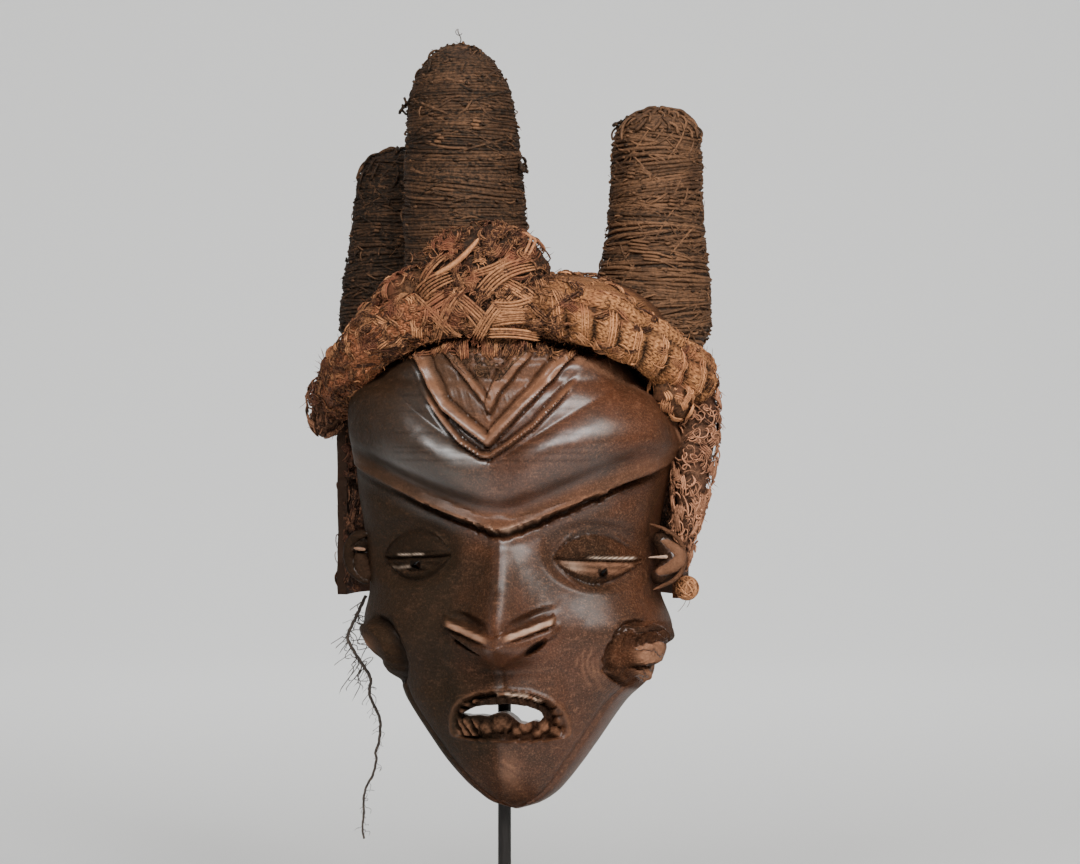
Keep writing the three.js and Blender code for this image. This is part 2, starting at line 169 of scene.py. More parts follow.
# Strands as one mesh. Each is given by its points, its radius or radii, and its shade
def strands(name, lines):
    data = bpy.data.curves.new(name, "CURVE")
    data.dimensions = "3D"
    data.bevel_depth = 1
    data.bevel_resolution = 0  # four sides
    counts, shades = [], []
    for points, radii, shade in lines:
        spline = data.splines.new("POLY")
        spline.points.add(len(points) - 1)
        padded = np.ones((len(points), 4))
        padded[:, :3] = points
        spline.points.foreach_set("co", padded.ravel())
        thick = np.array(np.broadcast_to(radii, len(points)), float)
        thick[[0, -1]] *= 0.1  # ends close to a point
        spline.points.foreach_set("radius", thick)
        counts.append(len(points))
        shades.append(shade)
    source = newObject(name + "Lines", data)
    mesh = bpy.data.meshes.new_from_object(source.evaluated_get(bpy.context.evaluated_depsgraph_get()))
    mesh.name = name
    bpy.data.objects.remove(source, do_unlink=True)
    bpy.data.curves.remove(data)
    piece = newObject(name, mesh)
    mesh.shade_smooth()
    around = len(mesh.vertices) // sum(counts)
    paint(piece, "shade", np.repeat(shades, np.array(counts) * around))
    return piece


def paint(piece, name, values):
    layer = piece.data.attributes.new(name, "FLOAT", "POINT")
    layer.data.foreach_set("value", np.clip(values, 0, 1).astype(float))


# Materials from nodes
class Look:
    def __init__(self, name):
        self.material = bpy.data.materials.new(name)
        self.material.use_nodes = True
        self.tree = self.material.node_tree
        self.shader = self.tree.nodes["Principled BSDF"]

    def node(self, kind, inputs=None, **settings):
        made = self.tree.nodes.new(kind)
        for key, value in settings.items():
            setattr(made, key, value)
        for key, value in (inputs or {}).items():
            self.put(made.inputs[key], value)
        return made

    def put(self, socket, value):
        if isinstance(value, bpy.types.NodeSocket):
            self.tree.links.new(value, socket)
        else:
            socket.default_value = value

    def place(self, stretch=(1, 1, 1)):
        made = self.node("ShaderNodeTexCoord")
        return self.node("ShaderNodeMapping", {"Vector": made.outputs["Object"], "Scale": stretch}).outputs[0]

    def cloud(self, scale, detail=4, rough=0.6, stretch=(1, 1, 1), twist=0):
        inputs = {"Vector": self.place(stretch), "Scale": scale, "Detail": detail, "Roughness": rough}
        return self.node("ShaderNodeTexNoise", {**inputs, "Distortion": twist}).outputs["Fac"]

    def spread(self, value, low, high, start=0.0, end=1.0):
        inputs = {"Value": value, "From Min": low, "From Max": high, "To Min": start, "To Max": end}
        return self.node("ShaderNodeMapRange", inputs).outputs[0]

    def math(self, operation, first, second=0.0):
        made = self.node("ShaderNodeMath", operation=operation)
        self.put(made.inputs[0], first)
        self.put(made.inputs[1], second)
        return made.outputs[0]

    def mix(self, factor, first, second):
        made = self.node("ShaderNodeMix", data_type="RGBA")
        self.put(made.inputs["Factor"], factor)
        for socket, value in ((made.inputs[6], first), (made.inputs[7], second)):
            self.put(socket, value if isinstance(value, bpy.types.NodeSocket) else (*value, 1))
        return made.outputs[2]

    def painted(self, name):
        return self.node("ShaderNodeAttribute", attribute_name=name).outputs["Fac"]

    def bump(self, height, strength, distance, under=None):
        inputs = {"Height": height, "Strength": strength, "Distance": distance}
        made = self.node("ShaderNodeBump", inputs)
        if under is not None:
            self.tree.links.new(under, made.inputs["Normal"])
        return made.outputs[0]

    def finish(self, **sockets):
        names = {"color": "Base Color", "rough": "Roughness", "normal": "Normal", "metal": "Metallic",
                 "coat": "Coat Weight", "coatRough": "Coat Roughness", "sheen": "Sheen Weight",
                 "specular": "Specular IOR Level", "coatTint": "Coat Tint", "specularTint": "Specular Tint"}
        for key, value in sockets.items():
            plain = isinstance(value, tuple) and len(value) == 3
            self.put(self.shader.inputs[names[key]], (*value, 1) if plain else value)
        return self.material


def dress(piece, material, nodes):
    piece.data.materials.clear()
    piece.data.materials.append(material)
    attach(piece, "root")
    if nodes:
        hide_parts(*nodes)
    return piece


# The cord that hangs free from the hood's lower edge, on the viewer's left
cordStyle = {"diameter": 0.002, "radius": 0.00118, "twist": 0.0055, "steps": 420, "around": 12,
             "hairs": 110, "branches": 30, "hairRadius": 0.00014, "branchRadius": 0.00028, "seed": 5}
cordRoute = [
    (-94.9, 40, 243), (-100.6, 40, 231), (-106.5, 41, 218), (-103.5, 41, 210), (-97.6, 41, 201),
    (-92.3, 41, 192), (-92.8, 41, 182), (-86.8, 41, 168.5), (-86, 40, 160), (-87.2, 40, 151.5),
    (-89, 40, 147), (-88.4, 40, 142.5), (-90.6, 40, 133), (-94.5, 40, 126), (-96.4, 40, 118.5),
    (-96.4, 40, 109), (-97.2, 40, 100), (-96.2, 40, 93.5),
]


# Evenly spaced points on a smooth curve through the given ones
def smoothPath(points, count):
    control = np.array(points, float)
    padded = np.vstack([2 * control[0] - control[1], control, 2 * control[-1] - control[-2]])
    dense = []
    for a, b, c, d in zip(padded, padded[1:], padded[2:], padded[3:]):
        for s in np.linspace(0, 1, 24, endpoint=False):
            dense.append(0.5 * (2 * b + (c - a) * s + (2 * a - 5 * b + 4 * c - d) * s ** 2
                                + (3 * b - a - 3 * c + d) * s ** 3))
    dense = np.array(dense + [control[-1]])
    travelled = np.concatenate([[0], np.cumsum(np.linalg.norm(np.diff(dense, axis=0), axis=1))])
    even = np.linspace(0, travelled[-1], count)
    return np.stack([np.interp(even, travelled, dense[:, k]) for k in range(3)], axis=1), travelled[-1]


# Two directions across a path at each of its points
def sideways(path):
    ahead = np.gradient(path, axis=0)
    ahead /= np.linalg.norm(ahead, axis=1, keepdims=True)
    first = np.cross(ahead, [0.0, 1.0, 0.05])
    first /= np.linalg.norm(first, axis=1, keepdims=True)
    return first, np.cross(ahead, first)


# Fine hairs and frayed branches that have worked loose from the cord
def cordHairs(path, chance):
    lines = []
    for k in range(cordStyle["hairs"]):
        branch = k < cordStyle["branches"]
        start = chance.randrange(24, 175) if branch else chance.randrange(10, len(path) - 8)
        heading = Vector((chance.uniform(-0.6, 1), chance.uniform(-0.4, 0.4), chance.uniform(-1.2, 0.2)))
        bend = Vector((chance.uniform(-1, 0.6), chance.uniform(-0.4, 0.4), chance.uniform(-1.4, -0.2)))
        reach = chance.uniform(0.006, 0.015) if branch else chance.uniform(0.002, 0.006)
        phase, wave = chance.uniform(0, 6.28), chance.uniform(0.15, 0.4) * reach
        hair = []
        for s in np.linspace(0, 1, 12):
            sway = Vector((math.sin(9 * s + phase), 0, math.cos(7 * s + phase))) * wave * s
            point = Vector(path[start]) + heading.normalized() * reach * s + bend * reach * 0.5 * s * s
            hair.append(point + sway)
        lines.append((hair, cordStyle["branchRadius" if branch else "hairRadius"], 0.2))
    return lines


def cordPiece():
    points, length = smoothPath(cordRoute, cordStyle["steps"])
    path, length = points * mm, length * mm
    first, second = sideways(path)

    def place(across, along):
        i = np.round(along * (len(path) - 1)).astype(int)
        turn = 2 * math.pi * across
        lobes = np.cos(3 * (turn - 2 * math.pi * along * length / cordStyle["twist"] / 3))
        thick = np.interp(along, [0, 0.3, 0.75, 1], [1, 0.95, 0.75, 0.62]) * cordStyle["radius"]
        radius = (thick * (0.86 + 0.16 * lobes) * (1 + 0.1 * wander(along * 165, 4, 3)))[:, None]
        return path[i] + radius * (np.cos(turn)[:, None] * first[i] + np.sin(turn)[:, None] * second[i])

    piece = gridObject("cord", cordStyle["around"], len(path) - 1, place)
    piece.data.shade_smooth()
    look = Look("dark cord")
    shade = look.cloud(900, 3)
    color = look.mix(look.spread(shade, 0.35, 0.7), (0.012, 0.009, 0.008), (0.06, 0.04, 0.028))
    look.finish(color=color, rough=0.85, normal=look.bump(shade, 0.6, 0.0004))
    dress(piece, look.material, ["hanging_cord"])
    hairs = strands("cordHairs", cordHairs(path, random.Random(cordStyle["seed"])))
    dress(hairs, look.material, [])
    tuple(path[0])
    [tuple(p) for p in path]


cordPiece()
print("stage: cord")


# The carved face, in millimetres until its points are set
faceOutline = [  # height, left edge, right edge, depth of the back rim, depth of the front
    (120, 9.6, 10.4, -9, -12), (123.6, -3.6, 22.7, -8.5, -18), (129.6, -13, 32.2, -7, -22),
    (135.6, -20.6, 38.1, -6, -25), (147.6, -32.3, 47.2, -2, -31), (159.6, -41.9, 55.3, 3, -35),
    (183.6, -59.8, 71.1, 13, -39), (195.6, -65.8, 82.8, 17, -39), (207.6, -75, 90.8, 21, -39),
    (226, -90, 97.9, 26, -39), (250, -87.6, 89.6, 30, -38), (285, -90.8, 89.3, 30, -38),
    (313, -95.2, 94.9, 30, -42), (326, -95.8, 99, 30, -46), (340, -96, 105, 30, -50),
    (363, -94, 92.5, 30, -49), (374, -87.5, 80.8, 30, -45), (390, -66, 64, 30, -30), (402, -40, 40, 30, 10),
]
midline = [(120, 9.5), (165, 8.5), (220, 7.4), (285, 6), (335, 1), (402, 0.5)]
carving = {
    "browApex": 287, "browRise": 38, "browHalf": 96, "browSoft": 9, "browLedge": 5.6,
    "eyeHalfWidth": 25.5, "eyeUpper": 15, "eyeLower": 14.5, "eyeSlit": 1.7,
    "noseRoot": 290, "noseTip": 223, "noseRelief": 27,
    "mouthHeight": 171, "mouthHalfWidth": 33, "mouthUpper": 21, "mouthLower": 8.6,
    "lumpHeight": 211, "lumpRadius": 21, "lumpRelief": 7,
    "tooling": 0.3,
}
eyePlaces = ((-57.5, 271), (54.5, 269.5))
lumpPlaces = (-84, 80)
leftEdge, rightEdge, rimDepth, frontDepth = (smoothColumn(faceOutline, k) for k in (1, 2, 3, 4))
midlineAt = smoothColumn(midline, 1)
sideSquareness, frontSquareness = 0.92, 0.85


# 1 within half of a line, falling to 0 over edge
def ridge(distance, half, edge):
    return 1 - step(half, half + edge, np.abs(distance))


# A height over the distance from the midline, through some points
def line(*points):
    table = np.array(points, float)
    return lambda side: np.interp(side, table[:, 0], table[:, 1])


# The chevrons' ridges: the side they lie on, height over distance to the midline, half width, rise, reach
chevronArms = [
    (-1, line((0, 340.5), (12, 350), (25, 361), (34, 376), (43, 394), (50, 412)), 2.1, 4.2, 60),
    (1, line((0, 340.5), (12, 353.5), (24, 367.5), (34, 381), (42, 394), (50, 409)), 2.6, 4.6, 60),
    (-1, line((0, 331), (4.5, 331.8), (15.5, 339.8), (24, 350.5), (35.5, 366.6), (45, 385)), 0.6, 2.2, 38),
    (1, line((0, 331), (12, 338.3), (26, 349.2), (36.8, 362), (45, 373), (52, 385)), 0.6, 2.4, 47),
    (-1, line((0, 362), (5, 368), (17, 381.6), (27, 394), (40, 411)), 1.2, 2.6, 60),
    (1, line((0, 362), (5.6, 373.4), (14.6, 385.7), (23, 395), (40, 412)), 3.0, 4.2, 26),
]


def ridgeOf(arm, across, z):
    side, height, half, rise, reach = arm
    away = side * across
    slope = (height(away + 1.5) - height(away - 1.5)) / 3
    distance = (z - height(away)) / np.hypot(1, slope)
    return ridge(distance, half, 1.3) * step(-2.5, -0.5, away) * step(reach, reach - 7, away), rise, distance


def chevronRelief(across, z):
    out = np.zeros_like(z)
    for arm in chevronArms:
        on, rise, _ = ridgeOf(arm, across, z)
        out = np.maximum(out, on * rise)
    main = np.where(across < 0, chevronArms[0][1](-across), chevronArms[1][1](across))
    outer = np.where(across < 0, chevronArms[2][1](-across), chevronArms[3][1](across))
    inside = step(-1, 3, z - main)
    between = step(-0.5, 2.5, z - outer) * step(50, 40, np.abs(across))
    for arm in chevronArms:  # a cut beside each ridge
        _, _, distance = ridgeOf(arm, across, z)
        near = step(-2.5, -0.5, arm[0] * across) * step(arm[4], arm[4] - 7, arm[0] * across)
        out = out - 1.5 * swell((np.abs(distance) - arm[2] - 1.7) / 0.8) * near
    rough = 0.5 * wander(across * 3 + z, 4, 8) * inside
    return out - 2.4 * inside - 1.8 * between + rough


def browLine(side):
    c = carving
    spread = np.hypot(np.minimum(side, 1.1 * c["browHalf"]), c["browSoft"]) - c["browSoft"]
    return c["browApex"] + c["browRise"] * spread / (math.hypot(c["browHalf"], c["browSoft"]) - c["browSoft"])


# Height above the brow's chipped edge, how crisp the edge is there, and the height without the chips
def aboveBrow(across, z):
    chips = 1.2 * wander(across, 7, 1) + 0.9 * wander(across, 2.4, 2) + 0.4 * wander(across, 0.9, 3)
    crisp = step(-82, -34, across) * 0.75 + 0.25
    plain = z - browLine(np.abs(across))
    return plain + chips * crisp * step(88, 60, np.abs(across - 5)), crisp, plain


def foreheadRelief(across, z):
    side = np.abs(across)
    above, crisp, plain = aboveBrow(across, z)
    edge = 1.0 + 2.2 * (1 - crisp)
    out = carving["browLedge"] * (0.45 + 0.55 * crisp) * step(-edge, edge, above)
    out += 1.3 * swell((plain - 1.0) / 3.0) * crisp * step(-edge, edge, above)
    out -= 4.0 * swell((plain - 12) / 6) * step(96, 74, side)
    half = 17 + 0.16 * side
    right = across > 0
    bulge = np.clip(1 - ((plain - 23.5 - np.where(right, 0.09, 0.2) * np.minimum(side, 60)) / half) ** 2, 0, 1)
    lobe = 0.32 + 0.68 * step(0, np.where(right, 21, 26), side)
    lobe = lobe * (1 - 0.5 * step(np.where(right, 9, 14), 80, side))
    out += (12 * bulge ** 0.9 * lobe + 0.25 * wander(across + z, 26, 7)) * step(110, 84, side)
    gouge = 1 + 0.5 * swell((across - 82) / 14)
    out -= 3.6 * swell((above + 2.8) / 1.9) * crisp * gouge + 1.4 * swell((plain + 9) / 6)
    return out


# Place within the eye: 0 to 1 from its middle to its corners, and -1 to 1 from its lower to its upper rim
def eyeFrame(across, z):
    c = carving
    (leftOut, leftUp), (rightOut, rightUp) = eyePlaces
    dx = np.where(across < 0, leftOut - across, across - rightOut)
    dz = z - np.where(across < 0, leftUp, rightUp) + 0.05 * dx
    t = np.abs(dx) / c["eyeHalfWidth"]
    taper = np.clip(1 - t ** 1.9, 1e-3, 1)
    return t, dz / (np.where(dz > 0, c["eyeUpper"], c["eyeLower"]) * taper), dz, taper


def eyeRelief(across, z):
    c = carving
    t, q, dz, taper = eyeFrame(across, z)
    socket = np.hypot(t * c["eyeHalfWidth"] / 31, (dz - 2) / 21)
    out = -4.6 * (1 - step(0.74, 1.12, socket))
    within = step(1.02, 0.95, np.maximum(t, np.abs(q)))
    lid = 3.4 * np.clip(1 - (np.abs(q) - 0.35) ** 2 / 0.5, 0, 1) * taper ** 0.5
    lid = lid + 0.15 * wander(across + dz, 4, 18)
    low = c["eyeSlit"] - (11.8 + 0.8 * wander(across, 5, 15)) * np.clip(taper, 0, 1) ** 0.8
    gap = step(c["eyeSlit"] + 0.5, c["eyeSlit"] - 0.3, dz) * step(low - 0.5, low + 0.6, dz) * step(0.97, 0.9, t)
    strips = 0.4 * np.sin(dz * 1.5 + 0.9 * wander(across, 9, 27)) + 0.6 * wander(across + 2 * dz, 4, 16)
    inner = -0.6 + 1.4 * swell((dz - low - 5) / 4) + strips
    out += (lid * (1 - gap) + inner * gap) * within
    out += 1.9 * ridge(dz - c["eyeSlit"] + 0.9, 0.6, 0.7) * within * step(0.93, 0.7, t)
    out -= 1.3 * swell((dz - c["eyeSlit"] + 2.8) / 0.8) * gap
    out -= 0.7 * swell((np.maximum(np.abs(q), t) - 1.04) / 0.12) * step(1.25, 1.1, t)
    out += 0.5 * swell((np.abs(q) - 1.25) / 0.12) * step(1, 0.7, t)
    return out


def wingHeight(across):
    return np.where(across < 0, 221.6 - 0.35 * across, 223.0 + 0.4 * across)


def noseRelief(across, z):
    c = carving
    side = np.abs(across)
    bridge = step(c["noseRoot"] + 6, c["noseTip"] + 4, z)
    under = step(c["noseTip"] - 21, c["noseTip"] - 3, z)
    width = 7.5 + 8.5 * bridge
    soft = np.hypot(side, 2.4) - 2.4
    height = (6 + (c["noseRelief"] - 6) * bridge ** 1.3) * under * step(c["noseRoot"] + 8, c["noseRoot"] - 8, z)
    out = height * np.exp(-(soft / width) ** 1.15)
    wing = z - wingHeight(across)
    reach = np.where(across < 0, step(35, 31, side), step(30, 26.5, side))
    out += 6.5 * ridge(wing, 1.9, 1.7) * reach * (0.55 + 0.45 * step(3, 14, side))
    out -= 4.0 * swell((side - 15) / 9.5, (wing - 6.6) / 3.2) * step(1, 6, side)
    out += 0.7 * swell((wing - 11 + 0.012 * (side - 14) ** 2) / 1.3) * step(2, 7, side) * step(32, 25, side)
    fall = 206 + 0.62 * side  # the underside's lower edges meet under the nose
    out += 4.2 * step(-1, 2.5, z - fall) * step(-1.5, -4.5, wing) * step(34, 26, side)
    out -= 1.4 * swell((wing + 3.6) / 1.3) * step(4, 9, side) * step(33, 27, side)
    hole = (z - 218.4 - 0.66 * (across - 18.5)) / 2.3
    out -= 8.0 * np.clip(1.25 - np.hypot((across - 18.5) / 5.4, hole), 0, 1) ** 0.6
    out -= 4.2 * swell((z - 217.6 + 0.53 * (across + 18)) / 0.9) * step(-29, -25, across) * step(-8, -12, across)
    out -= 1.2 * swell(across / 1.6, (z - 198) / 9)
    return out


def mouthFrame(across, z):
    c = carving
    dx, up = across - 0.8, z - c["mouthHeight"]
    upper = (np.abs(dx / c["mouthHalfWidth"]) ** 2.3 + np.abs(up / c["mouthUpper"]) ** 2.3) ** (1 / 2.3)
    lower = (np.abs(dx / c["mouthHalfWidth"]) ** 5 + np.abs(up / c["mouthLower"]) ** 5) ** 0.2
    return np.where(up > 0, upper, lower), dx, up


# Worn teeth: sideways, upwards, half width, half height
knobs = [
    (-3.5, 0.6, 7.2, 5.2), (-13.0, -1.6, 4.2, 4.4), (5.2, -3.2, 3.6, 3.4), (10.6, 0.2, 4.6, 4.4),
    (17.2, -4.2, 3.6, 3.0), (21.4, -0.4, 4.4, 4.6), (28.0, -3.4, 4.2, 4.0), (30.6, 2.6, 3.4, 3.6),
    (29.6, 8.4, 3.2, 3.2), (26.4, 13.6, 3.2, 2.8), (21.6, 16.2, 2.6, 2.0), (-27.4, 8.4, 2.8, 1.8),
    (-24.6, 12.4, 3.0, 1.6), (-19, 14.6, 2.6, 1.8),
]


# The teeth's crowns, from 0 between them to 1 on top
def toothCrown(dx, up):
    crown = np.zeros_like(dx)
    wobble = 0.2 * wander(dx + 2 * up, 3.4, 12) + 0.22 * wander(2.3 * dx - 1.4 * up, 3.4, 26)
    for across, height, wide, tall in knobs:
        away = np.hypot((dx - across) / wide, (up - height) / tall) + wobble
        crown = np.maximum(crown, np.clip(1 - np.abs(away) ** 3, 0, 1) ** 0.5)
    slanted = np.abs(((dx + 0.55 * up + 1.6 * wander(up + dx, 5, 29)) / 5.2) % 1 - 0.5) * 2
    slanted = slanted + 0.35 * wander(up * 2, 4, 51)
    left = np.clip(1.15 - slanted ** 2, 0, 1) * step(-15, -18, dx) * step(-7.5, -6, up) * step(5.5, 3, up)
    return np.maximum(crown, left)


# The long upper tooth, a bare strip under the lip
def upperStrip(dx, up, square, inner):
    return step(0.84, 0.88, square) * step(*inner, square) * step(-7, -4, dx) * step(22, 17, dx) * (up > 0)


def teethRelief(dx, up, square):
    crown = toothCrown(dx, up)
    rough = 1.3 * wander(dx * 1.3 + up, 3.6, 44) + 1.0 * wander(up * 1.7 - dx, 3.0, 45)
    floor = 2.6 * step(-3.4, -5.0, up) * step(-20, -14, dx)
    gum = np.abs(((dx + 0.8 * wander(dx, 6, 14)) / 6.2) % 1 - 0.5) * 2
    row = step(0.56, 0.66, square) * step(0.88, 0.82, square) * step(2, 5, up)
    strip = 5.0 * upperStrip(dx, up, square, (0.98, 0.95))
    return np.maximum(-1 + (6.2 + rough) * crown, floor) + (2.6 - 1.6 * gum ** 3 + 0.6 * rough) * row + strip


def mouthRelief(across, z):
    square, dx, up = mouthFrame(across, z)
    out = 5 * swell(dx / 38, (z - 177) / 22)
    uneven = 0.035 * wander(dx * 1.3 + up, 5, 17)
    out += (0.9 + 0.5 * wander(dx - up, 4, 18)) * swell((square - 1.04 + uneven) / 0.04)
    inside = 1 - step(0.93, 1.0, square + uneven)
    return out + (teethRelief(dx, up, square) - 6.6) * inside


def lumpFrame(across, z):
    leftOut, rightOut = lumpPlaces
    dx = np.where(across < 0, leftOut - across, across - rightOut)
    dz = z - carving["lumpHeight"]
    return dx, dz, np.hypot(dx, dz) / carving["lumpRadius"]


# Fine strokes on the cheek beside the right lump
def cheekStrokes(dx, dz, away):
    out = np.zeros_like(dx)
    for k, ring in enumerate((1.2, 1.3, 1.43, 1.52, 1.66, 1.8)):
        off = away - ring - 0.05 * wander(dz, 6, 23 + k) - 0.02 * wander(dz, 2, 33 + k)
        broken = step(-0.35, 0.1, wander(dz + 7 * k, 7, 43 + k))
        reach = step(-26 + 2 * k, -16, dz) * step(15 - 2 * k, 4, dz) * step(-6, -14, dx)
        out = np.maximum(out, swell(off / 0.026) * broken * reach)
    return out


def lumpRelief(across, z):
    dx, dz, away = lumpFrame(across, z)
    right = across > 0
    rough = np.where(right, 0.14, 0.03) * wander(across * 1.1 + 1.7 * dz, 6, 22)
    upperLeft = step(-14, 0, dz - 0.6 * dx)
    on = 1 - step(np.where(right, 0.55, 0.74), np.where(right, 1.15, 1.04), away + rough)
    out = np.where(right, 4.6, carving["lumpRelief"]) * on
    inner = step(2, -6, dx) * step(26, 18, np.abs(dz - 2)) * np.where(right, 0.25 + 0.75 * upperLeft, 1)
    out -= 4.2 * swell((away - 1.04 + rough) / 0.1) * inner
    out += np.where(right, 0.4 * cheekStrokes(dx, dz, away), 0)
    tilt = dz - 0.06 * dx + 0.6 * wander(across, 4, 21)
    ragged = 1.3 * wander(across * 1.3 + 2.2 * dz, 3.2, 24) + 0.7 * wander(across * 2 - dz, 1.6, 25)
    first = step(-3.6, -2.6, tilt) * step(6.4, 5.4, tilt) * (4.4 + 0.5 * (5.6 - tilt)) * step(-13, -9, dx)
    second = step(-15.8, -14.8, tilt) * step(-5.6, -6.6, tilt) * (3.6 + 0.42 * (-6 - tilt))
    second = second * step(0, 3, dx + 14 + 0.9 * (tilt + 6))
    recess = -3.4 * swell((tilt - 11.5) / 4.2) * step(-16, -11, dx) * step(12, 6, dx)
    broken = first + second + recess - 2.0 + ragged * (0.6 + 0.7 * step(5, 9, tilt))
    dents = -4.5 * swell((dx + 15) / 3.4, (dz - 19) / 4.8) + 1.5 * swell((dx + 2) / 7, (dz - 4) / 7)
    dents += 1.8 * swell((dx + 6) / 4, (dz + 12) / 4) - 2.2 * swell((dx + 6) / 6, (dz + 3.5) / 2) + 0.12 * ragged
    return out + np.where(right, broken, dents) * (1 - step(0.8, 0.98, away + rough))


# How far the carving stands out of the plain face
def relief(across, z):
    side = np.abs(across)
    out = foreheadRelief(across, z) + eyeRelief(across, z) + noseRelief(across, z) + chevronRelief(across, z)
    out += 5 * swell((side - 56) / 24, (z - 226) / 24) - 3 * swell((side - 40) / 7, (z - 196) / 22)
    out += mouthRelief(across, z) + lumpRelief(across, z)
    out += 5 * swell(side / 18, (z - 140) / 15)
    return out


# Where the wood is rubbed light, dark with painted shade in grooves, holes and hollows, broken to raw wood, pale
# or dull, from 0 to 1
def facePaint(across, z):
    side, right = np.abs(across), across > 0
    above, crisp, plain = aboveBrow(across, z)
    t, q, dz, _ = eyeFrame(across, z)
    inEye = step(1.0, 0.96, np.maximum(t, np.abs(q)))
    wing = z - wingHeight(across)
    square, dx, up = mouthFrame(across, z)
    mouthIn = 1 - step(0.9, 1.0, square)
    lx, lz, away = lumpFrame(across, z)
    main = np.where(across < 0, chevronArms[0][1](-across), chevronArms[1][1](across))
    flecks = wander(across * 1.7 + z, 5, 63)

    # brow and chevrons
    rub = (0.5 + 0.5 * flecks) * swell((above - 0.8) / 1.3) * crisp * step(92, 60, side)
    rub = rub + 0.22 * step(0, 3, above) * step(13, 6, plain)
    # Painted shade in the groove under the brow's edge and in the cuts beside the chevrons' ridges
    dark = 0.85 * swell((above + 2.4) / 1.5) * crisp * step(95, 80, side)
    chip = swell((above - 0.2) / 1.5) * step(-0.15, 0.3, wander(across * 1.3 + z, 4, 61))
    chip = chip * swell((across + 2) / 17)
    for arm in chevronArms:
        on, _, distance = ridgeOf(arm, across, z)
        rub = np.maximum(rub, 0.8 * on)
        dark = np.maximum(dark, 0.35 * swell((np.abs(distance) - arm[2] - 1.7) / 0.8) * step(60, 50, side))
    rub = most(rub, 0.3 * step(0, 3, z - main), 0.3 * swell((square - 1.04) / 0.04),
               1.1 * ridge(wing + 0.3, 1.4, 0.9) * step(2, 8, side) * step(31, 27, side))

    # mouth and nose
    # Painted shade inside the mouth, deeper under the upper lip
    dark = np.maximum(dark, mouthIn * (0.6 + 0.3 * swell((up - 9) / 5)))
    strip = upperStrip(dx, up, square, (0.99, 0.96))
    knob = toothCrown(dx, up) ** 2 * mouthIn
    rub = most(rub, 1.1 * strip, 0.65 * knob ** 2 * (1 + 0.5 * wander(dx * 1.5 - up, 3, 52)))
    dark = dark * (1 - 0.95 * strip) * (1 - 0.7 * knob)
    corner = np.where(right, 0.7 * step(-14, 0, lz - 0.6 * lx), 1)
    slit = swell((z - 217.6 + 0.53 * (across + 18)) / 1.1) * step(-29, -25, across) * step(-7, -11, across)
    nostril = step(1.25, 0.8, np.hypot((across - 18.5) / 5.4, (z - 218.4 - 0.66 * (across - 18.5)) / 2.3))
    # Painted shade in the lumps' grooves, in the hollows above the nose wings, in the left slit and the right
    # nostril, over the eyes, most on the upper left lid, and in the groove round each eye
    dark = most(dark, 0.75 * swell((away - 1.02) / 0.09) * step(4, -6, lx) * corner,
                0.55 * swell((side - 15) / 9, (wing - 5.5) / 3), 0.95 * slit, nostril,
                np.where(right, 0.1, 0.4) * inEye * step(-2, 1, dz) + 0.3 * inEye * step(0.5, 0.8, -q),
                0.5 * swell((np.maximum(np.abs(q), t) - 1.02) / 0.08) * step(1.2, 1.05, t))

    # eyes
    low = carving["eyeSlit"] - 11.8 * np.clip(1 - t ** 1.9, 0, 1) ** 0.8
    opened = step(carving["eyeSlit"] - 1.6, carving["eyeSlit"] - 2.4, dz)
    opened = opened * step(low - 0.4, low + 0.8, dz) * inEye * step(0.85, 0.7, t)
    grooved = 0.62 + 0.38 * np.sin(dz * 1.5 + 0.9 * wander(across, 9, 27)) + 0.3 * wander(across + 2 * dz, 3, 28)
    bare = np.maximum(np.where(right, opened * 0.42, 0) * grooved, 0.8 * chip)
    # Painted shade on the left eye's open lower part; on the right eye it is cleared for the bare wood
    dark = np.where(right, dark * (1 - 0.9 * opened), np.maximum(dark, 0.5 * opened * (1 - 0.5 * grooved)))
    broken = 0.35 + 0.65 * step(-0.6, 0.1, wander(across * 1.2, 4, 49))
    under = swell((dz + 6.3 - 0.04 * (across + 60)) / 0.7) * step(-77, -71, across) * step(-53, -57, across)
    outLeft, outRight = -across - 57.5, across - 54.5
    lit = np.where(right, step(-6, -1, outRight) * step(22, 18, outRight) * (0.6 + 0.4 * broken),
                   0.75 * broken * step(13, 9, outLeft) * step(-8, -4, outLeft))
    # Painted shade in the groove under each eye slit
    dark = np.maximum(dark, 0.6 * swell((dz - carving["eyeSlit"] + 2.6) / 0.7) * inEye * step(0.9, 0.7, t))

    # lumps, jaw and the worn rim at the right
    tilt = lz - 0.06 * lx
    facets = step(-3.4, -2.4, tilt) * step(6.2, 5.2, tilt) * step(-12, -9, lx)
    facets += step(-15.6, -14.6, tilt) * step(-5.8, -6.8, tilt) * step(1, 3, lx + 14 + 0.9 * (tilt + 6)) * 1.3
    inLump = 1 - step(0.72, 0.86, away)
    torn = 0.62 + 0.5 * wander(across * 1.2 + 2 * z, 3.5, 46) + 0.4 * wander(across - 1.5 * z, 2.6, 47)
    recess = swell((tilt - 11) / 4.5) * step(-16, -11, lx)
    creases = 0.5 * swell((tilt + 4.6) / 1.4) + 0.45 * swell((tilt - 11) / 4)
    patch = (swell((lx + 1) / 7, (lz - 5) / 5) * 0.7 + swell((lx + 6) / 3, (lz + 12) / 3) * 0.5) * torn
    rough = 0.6 + 0.4 * wander(z * 1.4 + across, 3, 31)
    rim = np.interp(across, [30, 40, 56, 74, 88, 97, 104], [391, 388, 381, 372, 363, 352, 335])
    bare = most(bare, np.where(right, 0.7 * facets * inLump * torn, patch),
                0.5 * swell((across - 1) / 5, (z - 143) / 10) * rough,
                0.5 * step(-2, 3, z - rim) * step(34, 42, across))
